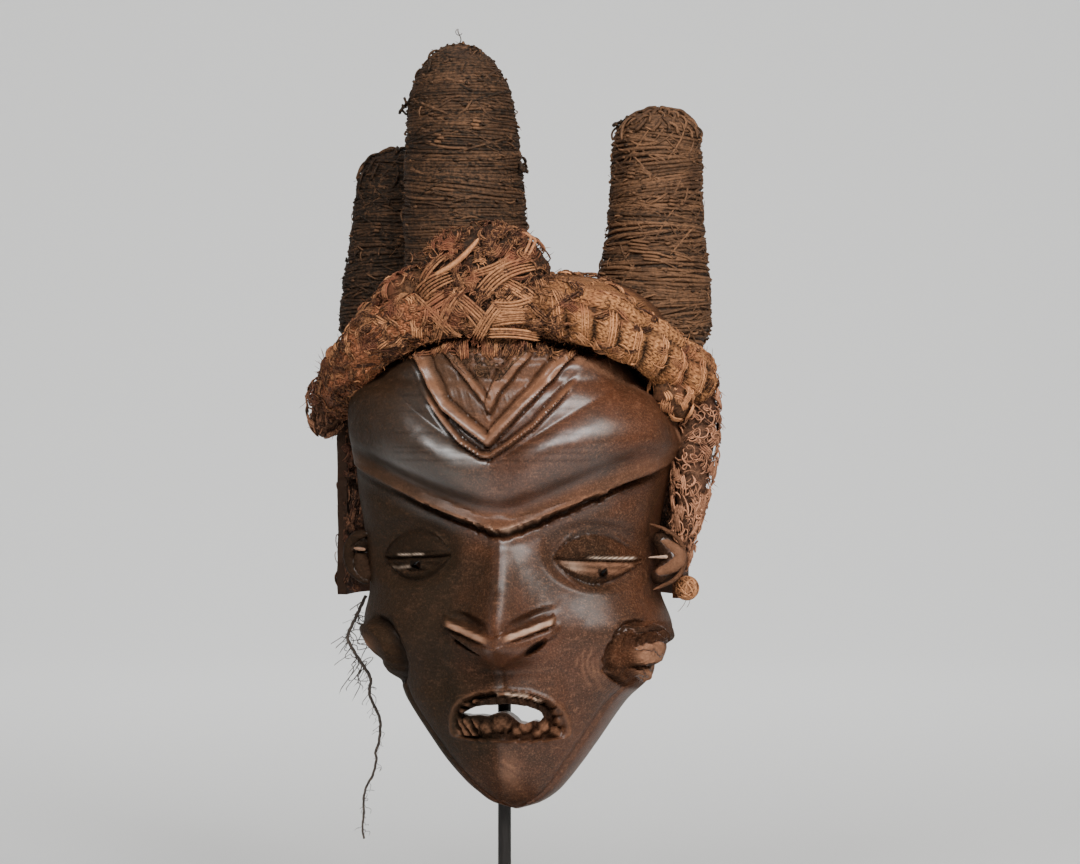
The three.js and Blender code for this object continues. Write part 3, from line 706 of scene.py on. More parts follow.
    # Painted shade in the left lump's hole, in the right lump's broken recess and creases, and in the forehead's
    # hollow above the brow band
    dent = 0.9 * swell((lx + 15) / 3.4, (lz - 19) / 4.8)
    dark = most(dark, np.where(right, 0.75 * recess * (1.1 - torn) * inLump, dent),
                np.where(right, inLump * creases, 0), 0.3 * swell((plain - 16) / 4) * step(90, 60, side))
    rub = np.maximum(rub, np.where(right, 0.55 * cheekStrokes(lx, lz, away), 0))

    dull = most(mouthIn, inEye, np.where(right, 1 - step(1.0, 1.2, away), 1 - step(0.95, 1.15, away)),
                0.8 * swell((square - 1.05) / 0.09), 0.7 * step(0, 4, z - main) * step(58, 48, side),
                0.8 * step(13, 6, plain) * step(-8, -4, plain),
                0.6 * step(-4, -14, plain) * (1 - 0.6 * swell((across - 4) / 12, (z - 262) / 30)),
                np.where(right, 0.72, 0.88) * step(np.where(right, 50, 40), 76, side),
                0.85 * swell(across / 3) * step(258, 250, z) * step(150, 200, z),
                0.93 * step(1, -7, across) * step(-4, -14, plain))
    # Painted highlight: the pale lines along the eye slits, and the nose wings' worn edges, which are painted
    # paler on the right
    wingWearAndHighlight = 0.4 * ridge(wing + 0.1, 0.9, 0.9) * step(3, 9, side) * step(30, 26, side)
    pale = most(0.32 * under * broken, swell((dz - carving["eyeSlit"] + 0.9) / 0.55) * inEye * lit,
                0.22 * opened * right * swell((across - 41) / 6, (dz + 5) / 4) * broken,
                0.42 * strip * step(-0.5, 0, wander(dx, 4, 50)), 0.4 * chip,
                wingWearAndHighlight * (0.25 + 0.6 * right) * (1 + 0.6 * flecks))
    made = {"rub": rub, "dark": dark * (1 - pale), "bare": bare, "pale": pale, "dull": dull}
    return {key: np.clip(value, 0, 1) for key, value in made.items()}


# Steps in the right edge beside the broken lump
def brokenEdge(z):
    return np.interp(z, [188, 194.4, 198.6, 202.8, 205.0, 206.4, 210.6, 214.8, 217.4, 218.8, 221.4, 224.4, 227],
                     [0, 0.5, 1.3, -0.4, -1.6, 1.9, 1.4, 0.4, -1.3, 1.4, 2.3, 1.0, 0])


def facePoints(angle, z, inset=0.0, fine=True):
    half, middle = (rightEdge(z) - leftEdge(z)) / 2, (rightEdge(z) + leftEdge(z)) / 2
    reach = np.sign(angle) * np.abs(np.sin(angle)) ** sideSquareness
    front = np.abs(np.cos(angle)) ** frontSquareness
    x = middle + reach * half
    y = rimDepth(z) + (frontDepth(z) - rimDepth(z)) * front
    raised = relief(x - midlineAt(z), z)
    if np.min(inset) > 0:  # the hollow at the back follows the carving only a little
        raised = np.minimum(raised, 3 + 0.35 * raised)
    out = raised * step(0.08, 0.62, front) - inset
    if fine:
        arch = 398 - 32 * np.clip(np.abs(x) / 110, 0, 1) ** 2  # the wood stays in front up to the cap's edge
        forward = 9 * step(374, 390, z) + 13 * step(387, 396, z)
        y = y - forward * step(0.3, 0.8, front) * step(0.5, -2.5, z - arch)
        fromEdge = half * (1 - np.abs(reach))
        x = x + brokenEdge(z) * step(0.82, 0.97, np.sin(angle))
        jaw = step(215, 190, z)
        out = out + jaw * (0.9 * ridge(fromEdge - 2.5, 2.5, 2) - 1.0 * swell((fromEdge - 7) / 1.6))
    return np.stack([x + out * np.sin(angle), y - out * np.cos(angle), z], axis=1)


# Points that stand off the carved face by a lift
def onFace(across, z, lift):
    x = midlineAt(z) + across
    half, middle = (rightEdge(z) - leftEdge(z)) / 2, (rightEdge(z) + leftEdge(z)) / 2
    reach = np.clip((x - middle) / half, -0.98, 0.98)
    angle = np.arcsin(np.sign(reach) * np.abs(reach) ** (1 / sideSquareness))
    return facePoints(angle, z, -lift)


def faceBody(name, frontColumns, backColumns, rows, inset, behind, bottom, top, fine):
    pull = 0.3  # sets the columns closer at the nose than at the sides

    def place(across, along):
        split = frontColumns / (frontColumns + backColumns)
        u = np.clip(2 * across / split - 1, -1, 1)
        angle = math.pi / 2 * ((1 - pull) * u + pull * u ** 3)
        brow = browLine(np.abs(np.sin(angle)) * carving["browHalf"])
        low = 0.62  # the share of the rows below the brow
        z = np.where(along < low, bottom + (brow - bottom) * (along / low) ** 0.92,
                     brow + (top - brow) * (along - low) / (1 - low))
        points = facePoints(angle, z, inset, fine)
        edge = np.full(len(z), math.pi / 2)
        left, right = facePoints(-edge, z, inset, fine), facePoints(edge, z, inset, fine)
        s = np.clip((across - split) / (1 - split), 0, 1)[:, None]
        back = right + (left - right) * s + np.array([0, behind, 0])
        onFront = across <= split + 1e-9
        if not fine:
            return np.where(onFront[:, None], points, back) * mm
        tooled = carving["tooling"] * (0.7 * grain(points, 9, 4) + 0.3 * grain(points, 3.2, 5))
        points[:, 1] -= tooled * np.cos(angle)
        half, middle = (rightEdge(z) - leftEdge(z)) / 2, (rightEdge(z) + leftEdge(z)) / 2
        reach = np.sign(angle) * np.abs(np.sin(angle)) ** sideSquareness
        painted = facePaint(middle + reach * half - midlineAt(z), z)
        painted = {key: value * onFront for key, value in painted.items()}
        return np.where(onFront[:, None], points, back) * mm, painted

    return gridObject(name, frontColumns + backColumns, rows, place)


# A closed prism along Y from an outline of sideways and height values, in millimetres
def throughCut(name, outline, low, high):
    mesh = bmesh.new()
    ring = [mesh.verts.new((x * mm, low * mm, z * mm)) for x, z in outline]
    face = mesh.faces.new(ring)
    pushed = bmesh.ops.extrude_face_region(mesh, geom=[face])["geom"]
    moved = [v for v in pushed if isinstance(v, bmesh.types.BMVert)]
    bmesh.ops.translate(mesh, verts=moved, vec=(0, (high - low) * mm, 0))
    bmesh.ops.recalc_face_normals(mesh, faces=mesh.faces)
    data = bpy.data.meshes.new(name)
    mesh.to_mesh(data)
    mesh.free()
    return newObject(name, data)


# Painted shade, dark and dull, on the points inside a box in millimetres
def paintShadeIn(piece, low, high, amount=1.0):
    places = np.empty(3 * len(piece.data.vertices))
    piece.data.vertices.foreach_get("co", places)
    inside = np.all((places.reshape(-1, 3) / mm > low) & (places.reshape(-1, 3) / mm < high), axis=1)
    for kind in ("dark", "dull"):
        layer = piece.data.attributes.get(kind)
        if layer:
            values = np.empty(len(inside))
            layer.data.foreach_get("value", values)
            layer.data.foreach_set("value", np.where(inside, amount, values))


# Openings right through the wood, sideways and upwards
openings = {
    "mouth": [(-19.5, 177.6), (-14, 176.9), (-8, 177.4), (-3, 176.8), (2, 178.6), (6, 179.6), (9.5, 178.8),
              (13, 176.2), (15.5, 173.8), (20, 172.8), (24, 174.4), (28, 173.8), (30.5, 176.8), (29.5, 179.4),
              (26, 181.6), (21, 183.2), (14.4, 184), (9, 184.6), (4, 183.8), (-4, 183.4), (-10, 182.4),
              (-15.5, 180)],
    "leftEye": [(-52.4, 264.6), (-49.6, 263.2), (-46.8, 262.6), (-45.6, 265.2), (-46.6, 268.0), (-49.6, 266.8)],
    "rightEye": [(61.0, 259.8), (63.2, 258.4), (65.2, 260.8), (64.6, 263.6), (62.8, 262.8)],
}
cutDepth = (-90, 5)
woodWall = 11.0


def carvedFace():
    face = faceBody("face", frontColumns=300, backColumns=12, rows=262, inset=0.0, behind=0,
                    bottom=120, top=402, fine=True)
    hollow = faceBody("hollow", frontColumns=60, backColumns=6, rows=48, inset=woodWall, behind=30,
                      bottom=134, top=391, fine=False)
    cuts = [hollow] + [throughCut(name, outline, *cutDepth) for name, outline in openings.items()]
    combine(face, cuts, "DIFFERENCE")
    for left, right, low, high in ((-52.8, -45.3, 262.3, 268.4), (60.7, 65.5, 258.1, 263.9)):
        paintShadeIn(face, (left, cutDepth[0], low), (right, cutDepth[1], high))  # painted shade on the eye holes' walls
    combine(face, [tube(*bar) for bar in earBars + lumpBars()], "UNION")
    return smoothed(face, 42)


# The ears: curled bars that stand out at the sides. Points are sideways, depth and height, with a radius
earBars = [
    ([(-84, 2, 283, 2.2), (-92, 5, 281, 3.2), (-97, 7, 275, 3.8), (-97.4, 8, 266, 3.6),
      (-93.5, 7, 259, 3.2), (-84, 2, 253, 2.6)], "leftEar"),
    ([(-86, 8, 281, 4.0), (-90, 9, 276, 5.0), (-90, 8, 271, 6.0)], "leftBody"),
    ([(-90, 7, 272, 3.0), (-90, 7.5, 266, 5.6), (-88, 6.5, 260, 5.0), (-84, 3, 254, 3.5)], "leftFill"),
    ([(-86, 2, 273.0, 0.9), (-90, 2.5, 273.4, 1.1), (-94, 5, 273.6, 0.8)], "leftBar"),
    ([(88, 1, 290, 0.9), (97, 4.5, 286.5, 1.1), (104.5, 7.5, 280.5, 1.4), (107.6, 9, 272, 1.7),
      (107, 9, 264, 1.5), (102, 7, 256.5, 1.2), (90, 2, 250.5, 0.9)], "rightEar"),
    ([(90, 8, 284, 4.6), (96, 10, 277, 6.2), (98.5, 11, 270, 8.2), (96, 10, 262, 6.2),
      (89, 7, 255, 4.6)], "rightBody"),
    ([(90, 6.5, 281, 1.6), (95, 6, 279.6, 2.4), (101, 6.5, 275.6, 3.4), (105, 7.5, 270, 4.4), (101, 6, 265, 4.4),
      (95, 5.5, 261.5, 3.2), (90, 5.5, 259, 2.0)], "rightFan"),
    ([(87.5, 0, 270.0, 0.4), (93, 0.5, 270.2, 0.8), (99, 1.5, 270.4, 1.2)], "rightBar"),
]


# The broken steps and the knob of the right lump: sideways and upwards on the face, with a radius
lumpChunks = {
    "chunkUpper": [(69, 215.4, 2.4), (75, 214.8, 4.0), (82, 215.4, 4.4), (90, 216.0, 3.4)],
    "chunkLower": [(72, 205.0, 2.0), (74, 202.4, 3.8), (77, 199.2, 3.0), (80, 196.0, 1.4)],
    "chunkLedge": [(63, 225.0, 1.4), (68, 228.4, 1.9), (76, 227.4, 1.5), (83, 228.6, 2.1), (90, 226.0, 1.6)],
    "chunkKnob": [(85, 225.0, 1.8), (89, 222.6, 3.2), (92, 220.6, 2.4)],
}


def lumpBars():
    bars = []
    for name, spots in lumpChunks.items():
        across, z, radius = np.array(spots, float).T
        places = onFace(across, z, -1.2)  # sunk a little
        bars.append(([(*place, size) for place, size in zip(places, radius)], name))
    return bars


# Rubbed, dark and bare, by a word in the bar's name. The dark is painted shade: behind and inside the ears, over
# the left ear, and on the lump's knob and ledge
barPaint = {
    "Body": (0, 0.7, 0), "Fill": (0.1, 0.5, 0), "Bar": (0.7, 0, 0.2), "Fan": (0.56, 0, 0.1),
    "leftEar": (0.05, 0.5, 0), "rightEar": (0.3, 0.1, 0), "Knob": (0.1, 0.5, 0), "Ledge": (0.1, 0.65, 0),
    "chunkUpper": (0.1, 0.0, 0.6), "chunkLower": (0.4, 0, 0.8),
}
barPale = {"rightBar": 0.38, "leftBar": 0.12}
barSteps = 40


# A closed bar along some points, each with its own radius. The chunks are squarer and rougher
def tube(points, name):
    path, _ = smoothPath([p[:3] for p in points], barSteps)
    radius = np.interp(np.linspace(0, 1, barSteps), np.linspace(0, 1, len(points)), [p[3] for p in points])
    first, second = sideways(path)
    uneven, squareness = (0.3, 0.55) if "chunk" in name else (0.1, 1)
    rub, dark, bare = next(value for key, value in barPaint.items() if key in name)

    def place(across, along):
        i = np.round(along * (barSteps - 1)).astype(int)
        turn = 2 * math.pi * across
        size = (radius[i] * np.sqrt(np.clip(np.minimum(along, 1 - along) * 12 + 0.04, 0, 1))
                * (1 + uneven * wander(along * 60 + 9 * np.cos(turn), 5, 19)))[:, None]
        aside, ahead = (np.sign(v) * np.abs(v) ** squareness for v in (np.cos(turn), np.sin(turn)))
        points = path[i] + size * (aside[:, None] * first[i] + ahead[:, None] * second[i])
        torn = 1 + 0.5 * wander(along * 50 + 12 * np.cos(turn), 6, 48)
        made = {"rub": rub, "dark": dark, "bare": bare * torn, "pale": barPale.get(name, 0) * torn, "dull": 1.0}
        return points * mm, {key: np.clip(value + 0 * turn, 0, 1) for key, value in made.items()}

    return gridObject(name, 20, barSteps - 1, place)


# Wood colours. The greenish dark is a painted shade over the face's left side, and the darkest serves both the
# dirt in the pores and the painted shade in hollows
wood = {
    "dark": (0.0165, 0.0079, 0.0038), "red": (0.057, 0.0192, 0.0083), "worn": (0.255, 0.122, 0.069),
    "pale": (0.62, 0.47, 0.36), "raw": (0.33, 0.165, 0.098), "darkening": (0.004, 0.0025, 0.0018),
    "leftShade": (0.0108, 0.0070, 0.0036), "gloss": 0.95, "glossRough": 0.37,
}


def woodLook():
    look = Look("carved wood")
    broad = look.cloud(16, 5, 0.62)
    fine = look.cloud(190, 6, 0.7)
    streak = look.cloud(55, 5, 0.65, stretch=(1, 1, 0.14))
    scratch = look.cloud(420, 3, 0.6, stretch=(0.12, 1, 1))
    brown = look.mix(look.spread(broad, 0.34, 0.64), wood["dark"], wood["red"])
    brown = look.mix(look.spread(streak, 0.48, 0.72, 0, 0.55), brown, wood["dark"])
    pores = look.cloud(900, 5, 0.75)
    # Painted shade: left of the face's middle the brown turns darker and greener
    aside = look.node("ShaderNodeSeparateXYZ", {"Vector": look.place()}).outputs["X"]
    ragged = look.math("ADD", aside, look.spread(broad, 0.3, 0.7, -0.012, 0.012))
    left = look.spread(ragged, 0.01, -0.024, 0.0, 0.88)
    brown = look.mix(left, brown, wood["leftShade"])
    kept = look.spread(left, 0, 1, 1, 0.3)  # the worn specks fade into the painted shade on the left
    flecks = (fine, 0.55, 0.8, 0.2), (scratch, 0.56, 0.72, 0.18), (pores, 0.53, 0.64, 0.3)
    for cloud, low, high, amount in flecks:
        specks = look.math("MULTIPLY", kept, look.spread(cloud, low, high, 0, amount))
        brown = look.mix(specks, brown, wood["worn"])
    brown = look.mix(look.spread(pores, 0.47, 0.34, 0, 0.75), brown, wood["darkening"])
    patchy = look.spread(fine, 0.25, 0.7, 0.55, 1.15)
    uneven = look.math("MULTIPLY", patchy, look.spread(broad, 0.35, 0.6, 0.55, 1.1))
    rub = look.math("MULTIPLY", look.painted("rub"), uneven)
    bare = look.math("MULTIPLY", look.painted("bare"), patchy)
    # Painted shade: where the face and the ear and lump bars are painted dark, in grooves, holes and hollows,
    # the darkest colour is mixed in
    darkening = look.painted("dark")
    brown = look.mix(look.math("MULTIPLY", rub, 0.7), brown, wood["worn"])
    brown = look.mix(look.math("MINIMUM", bare, 1.0), brown, wood["raw"])
    brown = look.mix(look.painted("pale"), brown, wood["pale"])
    brown = look.mix(look.math("MULTIPLY", darkening, 0.9), brown, wood["darkening"])
    rough = look.math("ADD", look.spread(fine, 0.3, 0.75, 0.3, 0.5), look.math("MULTIPLY", bare, 0.35))
    normal = look.bump(fine, 0.55, 0.0009)
    normal = look.bump(pores, 0.9, 0.0007, normal)
    normal = look.bump(look.cloud(430, 4, 0.7), 0.7, 0.0011, normal)
    torn = look.math("MULTIPLY", look.cloud(260, 5, 0.75), look.painted("bare"))
    normal = look.bump(torn, 0.9, 0.003, normal)
    normal = look.bump(streak, 0.25, 0.0009, normal)
    normal = look.bump(scratch, 0.3, 0.0005, normal)
    dull = look.math("MAXIMUM", look.math("MAXIMUM", bare, darkening), look.painted("dull"))
    rough = look.math("ADD", rough, look.math("MULTIPLY", dull, 0.25))
    coat = look.math("MULTIPLY", look.math("SUBTRACT", 1.0, dull), wood["gloss"])
    return look.finish(color=brown, rough=rough, normal=normal, coat=coat, coatRough=wood["glossRough"],
                       specular=0.08, coatTint=(1, 0.93, 0.86), specularTint=(1, 0.86, 0.72))


dress(carvedFace(), woodLook(), ["mask_face"])
print("stage: face")


# Dry plant fibre with a painted tone and streaks, darkened where painted dark, which on most pieces is painted
# shade in folds and hollows, knitted where stitches are painted in millimetres
def fibreLook(name, dark, light, accent, grainScale, speckle, knit=None):
    look = Look(name)
    fine = look.cloud(grainScale, 4, 0.65)
    broad = look.cloud(45, 3, 0.6)
    tone = look.math("ADD", look.math("MULTIPLY", look.painted("shade"), 0.85),
                     look.spread(fine, 0.3, 0.75, -speckle, 1.2 * speckle))
    color = look.mix(tone, dark, light)
    color = look.mix(look.spread(broad, 0.5, 0.72, 0, 0.7), color, accent)
    normal = look.bump(fine, 0.5, 0.0005)
    if knit:
        wide, tall = knit
        row = look.math("FRACT", look.math("DIVIDE", look.painted("knitDown"), tall))
        slant = look.math("ABSOLUTE", look.math("SUBTRACT", row, 0.5))
        phase = look.math("ADD", look.math("DIVIDE", look.painted("knitAcross"), wide), slant)
        phase = look.math("ADD", phase, look.spread(broad, 0.2, 0.8, 0, 2.2))
        thread = look.math("SINE", look.math("MULTIPLY", phase, 2 * math.pi))
        height = look.math("SUBTRACT", look.spread(thread, -1.0, 1.0, 0.2, 1.0),
                           look.spread(slant, 0.34, 0.5, 0.0, 0.55))
        color = look.mix(look.math("MULTIPLY", look.painted("rosy"), 0.6), color, (0.27, 0.088, 0.042))
        gap = look.spread(height, 0.45, 0.12, 0.0, 0.8)
        color = look.mix(gap, color, dark)
        normal = look.bump(height, 0.9, 0.0012, normal)
    # The painted dark mixes in near black; on the roll, the gathered raffia, the tuft and the hood's cut edge it
    # is painted shade
    color = look.mix(look.math("MULTIPLY", look.painted("dark"), 0.92), color, (0.006, 0.0035, 0.0025))
    return look.finish(color=color, rough=0.75, normal=normal, specular=0.2, specularTint=(1, 0.85, 0.7))


# Bundles of strips, curls and fine fibres on a surface given from two ways across it in millimetres
def tangle(place, spans, count, chance, shade, size, curl, loose, along=None, spread=0.22):
    lines = []
    for _ in range(count):
        a, b = chance.uniform(*spans[0]), chance.uniform(*spans[1])
        heading = chance.gauss(*along) if along else chance.uniform(0, math.pi)
        tone = min(1, max(0.02, chance.gauss(shade, spread)))
        kind = chance.random()
        ahead = np.array([math.cos(heading), math.sin(heading)])
        aside = np.array([-ahead[1], ahead[0]])
        run = np.linspace(0, 1, 9 if kind < curl else 7 if kind < 1 - loose else 5)
        arch = np.sin(math.pi * run)
        if kind < curl:
            turn = 2 * math.pi * chance.uniform(0.3, 1.2) * run + chance.uniform(0, 6.28)
            ring, reach = chance.uniform(0.9, 2.8) * size, chance.uniform(2, 9) * size
            flat = reach * run[:, None] * ahead + ring * np.stack([np.cos(turn), np.sin(turn)], axis=1)
            lift = chance.uniform(-0.3, 0.8) + chance.uniform(0.3, 1.7) * arch
            radius = chance.uniform(0.3, 0.6) * size * (0.5 + 0.5 * arch ** 0.5)
            lines.append((place(a + flat[:, 0], b + flat[:, 1], lift) * mm, radius * mm, tone))
        elif kind < 1 - loose:
            number, width = chance.randint(2, 5), chance.uniform(0.42, 0.78) * size
            reach, bow, base = chance.uniform(6, 15) * size, chance.uniform(-1.6, 1.6), chance.uniform(-0.4, 0.9)
            for k in range(number):
                own = reach * chance.uniform(0.85, 1.1)
                off = (k - (number - 1) / 2) * 1.95 * width + bow * arch
                flat = own * (run[:, None] - 0.5) * ahead + off[:, None] * aside
                radius = width * (0.45 + 0.55 * arch ** 0.5)
                points = place(a + flat[:, 0], b + flat[:, 1], base + 0.9 * arch) * mm
                # Painted shade: strips that lie lower are darker
                ownTone = min(1, max(0.02, tone * (0.8 + 0.35 * base) + chance.gauss(0, 0.09)))
                lines.append((points, radius * mm, ownTone))
        else:
            reach = chance.uniform(2, 8)
            flat = reach * run[:, None] * ahead
            lift = chance.uniform(1.5, 6.5) * run ** 1.4
            lines.append((place(a + flat[:, 0], b + flat[:, 1], lift) * mm, 0.16 * mm, tone))
    return lines


# Several tangles on one surface. A row is both spans, the number of bundles, their shade, size, share of curls
# and of loose ends, heading and spread of the shade
def tangles(place, rows, chance):
    lines = []
    for across, upward, count, *rest in rows:
        lines += tangle(place, (across, upward), count, chance, *rest)
    return lines


# The horns: raffia twine wound over a core, in millimetres. Nubs are an angle, a way up and a reach, and patches
# an angle, a way up, a reach, a number of ends and a shade
horns = {
    "hornCentre": {
        "node": "horn_centre", "foot": (-25, 15, 410), "top": (-31, 15, 578), "dome": 52, "seed": 11,
        "radii": [(9, 37), (60, 37), (90, 35.5), (116, 33.5)], "pitch": 1.9, "rough": 0.75, "wraps": 130,
        "shade": 0.19, "loops": 3, "nubs": [(-1.45, 128, 4.5), (1.35, 92, 4.5)],
        "patches": [(0.45, 118, 5, 3, 0.85), (-0.2, 110, 4, 3, 0.7), (0.75, 45, 7, 3, 0.5)],
    },
    "hornLeft": {
        "node": "horn_left", "foot": (-84, 74, 388), "top": (-82.5, 74, 517), "dome": 24, "seed": 12,
        "radii": [(20, 35), (47, 33), (72, 28.7), (95, 26), (105, 25)], "pitch": 2.1, "rough": 1.2, "wraps": 120,
        "shade": 0.03, "loops": 30, "nubs": [], "patches": [(-0.2, 80, 4, 3, 0.4), (0.3, 72, 3, 3, 0.5)],
    },
    "hornRight": {
        "node": "horn_right", "foot": (77, 76, 388), "top": (81, 75, 539.5), "dome": 20, "seed": 13,
        "radii": [(20, 35.5), (47, 34.3), (72, 30.4), (96, 28.2), (131.5, 27)], "pitch": 2.1, "rough": 1.15,
        "wraps": 170, "shade": 0.47, "loops": 90, "nubs": [(-1.4, 142, 4.0)],
        "patches": [(-0.15, 66, 13, 4, 1.0), (0.1, 61, 11, 3, 0.9), (0.5, 95, 5, 3, 0.8),
                    (-0.4, 112, 6, 3, 0.7)],
    },
}


# The surface of a horn, by angle and way along its profile in millimetres
class HornForm:
    def __init__(self, horn):
        self.foot, self.top = np.array(horn["foot"], float), np.array(horn["top"], float)
        height = self.top[2] - self.foot[2]
        last = horn["radii"][-1][1]
        turn = np.linspace(0, math.pi / 2, 24)
        profile = [(0.4, horn["radii"][0][1] * 0.8)] + list(horn["radii"])
        profile += list(zip(height - horn["dome"] + horn["dome"] * np.sin(turn), last * np.cos(turn)))[1:]
        self.level, self.radius = np.array(profile).T
        self.way = np.concatenate([[0], np.cumsum(np.hypot(np.diff(self.level), np.diff(self.radius)))])
        self.length, self.height = self.way[-1], height

    def point(self, turn, way, lift):
        level, radius = np.interp(way, self.way, self.level), np.interp(way, self.way, self.radius)
        rise = np.interp(way + 0.5, self.way, self.radius) - np.interp(way - 0.5, self.way, self.radius)
        outward, upward = np.sqrt(np.clip(1 - rise * rise, 0, 1)), -rise
        centre = self.foot + (self.top - self.foot) * (level / self.height)[:, None]
        radius = radius + lift * outward
        return centre + np.stack([radius * np.sin(turn), -radius * np.cos(turn), lift * upward], axis=1)


hornDetail = {"turnSteps": 28, "crossings": 3.3, "knots": 260, "curls": 70, "fibres": 80}


# Each of the next functions yields strands on a horn: points, radius or radii, and shade
def longTwine(form, horn, chance):  # from the foot to the tip, in pieces of uneven length
    rough, seed = horn["rough"], horn["seed"]
    turns = form.length / horn["pitch"]
    steps = int(turns * hornDetail["turnSteps"])
    at = np.linspace(0, turns, steps)
    start = 0
    while start < steps - 2:
        span = chance.randrange(7, 28)
        piece = at[start:start + span + 2]
        start += span
        turn = 2 * math.pi * piece
        mid = piece[0] / turns * form.length
        tilt = (3.4 * wander(mid, 16, seed) + 2.2) * rough + 0.8
        lean = wander(mid, 23, seed + 1) * 6
        way = piece * horn["pitch"] - tilt * np.sin(turn + lean) + 1.1 * rough * wander(turn * 2.3, 1, seed + 2)
        lift = -0.5 + 0.6 * rough * wander(turn * 1.7, 1, seed + 3)
        lift = lift + 0.9 * wander(way + 5 * np.sin(turn), 9, seed + 6)
        thick = 1.3 + 0.45 * wander(turn * 1.1, 1, seed + 4)
        tone = horn["shade"] * (1 + 0.9 * wander(mid * 3 + turn[0], 11, seed + 5)) + chance.gauss(0, 0.1)
        way = np.clip(way, 0.2, form.length - 0.1)
        yield form.point(turn, way, lift) * mm, thick * mm, np.clip(tone, 0.02, 1)


def crossings(form, horn, chance):
    run = np.linspace(0, 1, 9)
    for _ in range(int(hornDetail["crossings"] * horn["wraps"])):
        middle = chance.uniform(0.03, 0.95) * form.length
        sweep = chance.choice((chance.uniform(0.25, 0.9), chance.uniform(0.4, 1.8)))
        begin = chance.uniform(0, 2 * math.pi)
        slope = chance.choice((chance.uniform(-6, 6), chance.uniform(-20, 20))) * horn["rough"]
        way = middle + slope * (run - 0.5) + chance.uniform(-2.5, 2.5) * np.sin(math.pi * run)
        lift = 0.6 * np.sin(math.pi * run) ** 0.5 - 0.4 + 0.25 * wander(run * 9, 1, chance.randrange(99))
        radius = chance.uniform(0.45, 1.0) * (0.55 + 0.45 * np.sin(math.pi * run) ** 0.4)
        shade = np.clip(horn["shade"] + chance.choice((-0.25, 0, 0.1, 0.4)) * chance.random(), 0, 1)
        way = np.clip(way, 0.5, form.length - 1)
        yield form.point(begin + sweep * run, way, lift) * mm, radius * mm, shade


def knots(form, horn, chance):
    run = np.linspace(0, 1, 6)
    for _ in range(int(hornDetail["knots"] * horn["rough"])):
        turn, way = chance.uniform(0, 2 * math.pi), chance.uniform(0.02, 0.97) * form.length
        around = turn + chance.uniform(1.4, 4.5) * (run - 0.5) / 34
        along = np.clip(way + chance.uniform(-1.2, 1.2) * (run - 0.5), 1, form.length - 1)
        lift = chance.uniform(0.1, 0.5) + 0.6 * np.sin(math.pi * run)
        radius = chance.uniform(0.6, 1.1)
        yield form.point(around, along, lift) * mm, radius * mm, toneNear(horn, chance, -0.25, 0.25)


def topLoops(form, horn, chance):
    run = np.linspace(0, 1, 12)
    for _ in range(horn["loops"]):
        turn, way = chance.uniform(0, 2 * math.pi), form.length - chance.uniform(8, 0.8 * horn["dome"] + 20)
        reach, lean = chance.uniform(7, 15), chance.uniform(-0.25, 0.25)
        along = np.clip(way + reach * run, 1, form.length - 1.5)
        around = turn + lean * run + 0.08 * np.sin(math.pi * run)
        lift = chance.uniform(0.3, 1.3) + chance.uniform(0.6, 2.2) * np.sin(math.pi * run)
        radius = chance.uniform(0.6, 1.2)
        yield form.point(around, along, lift) * mm, radius * mm, toneNear(horn, chance, -0.2, 0.3)


def paleEnds(form, horn, chance):  # laid over the windings
    run = np.linspace(-0.5, 0.5, 8)
    for turn, way, reach, count, shade in horn["patches"]:
        for k in range(count):
            around = turn + (reach * run + chance.uniform(-1, 1)) / 30
            points = form.point(around, way + 2.1 * k - 0.12 * reach * run, 1.6 - 3 * run * run)
            yield points * mm, 0.95 * mm, shade * chance.uniform(0.7, 1)


def stubs(form, horn, chance):  # curled, at the sides
    run = np.linspace(0, 1, 12)
    for turn, way, reach in horn["nubs"]:
        for k in range(5):
            around = turn + 0.06 * k + 0.12 * np.sin(2.2 * math.pi * run + k)
            along = np.clip(way + 2.0 * k + 2.5 * np.sin(math.pi * run + k), 1, form.length - 0.3)
            lift = 0.4 + (reach - 0.5 * k) * np.sin(0.62 * math.pi * run)
            yield form.point(around, along, lift) * mm, 1.0 * mm, 0.06


def curledEnds(form, horn, chance):
    run = np.linspace(0, 1, 10)
    for _ in range(int(hornDetail["curls"] * horn["rough"])):
        turn, way = chance.uniform(0, 2 * math.pi), chance.uniform(0.02, 0.97) * form.length
        reach, heading = chance.uniform(4, 11), chance.uniform(-0.6, 0.6)
        if chance.random() < 0.25:
            heading += 1.4
        lift = chance.uniform(0.8, 1.9) * np.sin(math.pi * run) + 0.2
        around = turn + reach * (run - 0.5) * math.cos(heading) / 30
        along = np.clip(way + reach * (run - 0.5) * math.sin(heading), 1, form.length - 1)
        radius = chance.uniform(0.35, 0.8)
        yield form.point(around, along, lift) * mm, radius * mm, toneNear(horn, chance, -0.1, 0.5)


def fineFibres(form, horn, chance):  # they stand off
    run = np.linspace(0, 1, 8)
    for _ in range(int(hornDetail["fibres"] * horn["rough"])):
        turn, way = chance.uniform(0, 2 * math.pi), chance.uniform(0.03, 1.0) * form.length
        reach = chance.uniform(3, 9)
        around = turn + chance.uniform(-1, 1) * reach * run / 30
        along = np.clip(way + chance.uniform(-1, 1) * reach * run, 1, form.length - 0.5)
        lift = 0.5 + chance.uniform(0.5, 3.4) * run ** 1.5
        yield form.point(around, along, lift) * mm, 0.17 * mm, chance.uniform(0.2, 1)


def toneNear(horn, chance, darker, lighter):
    return np.clip(horn["shade"] + chance.uniform(darker, lighter), 0, 1)


def windings(form, horn):
    chance = random.Random(horn["seed"])
    lines = []
    for part in (longTwine, crossings, knots, topLoops, paleEnds, stubs, curledEnds, fineFibres):
        lines += part(form, horn, chance)
    return lines


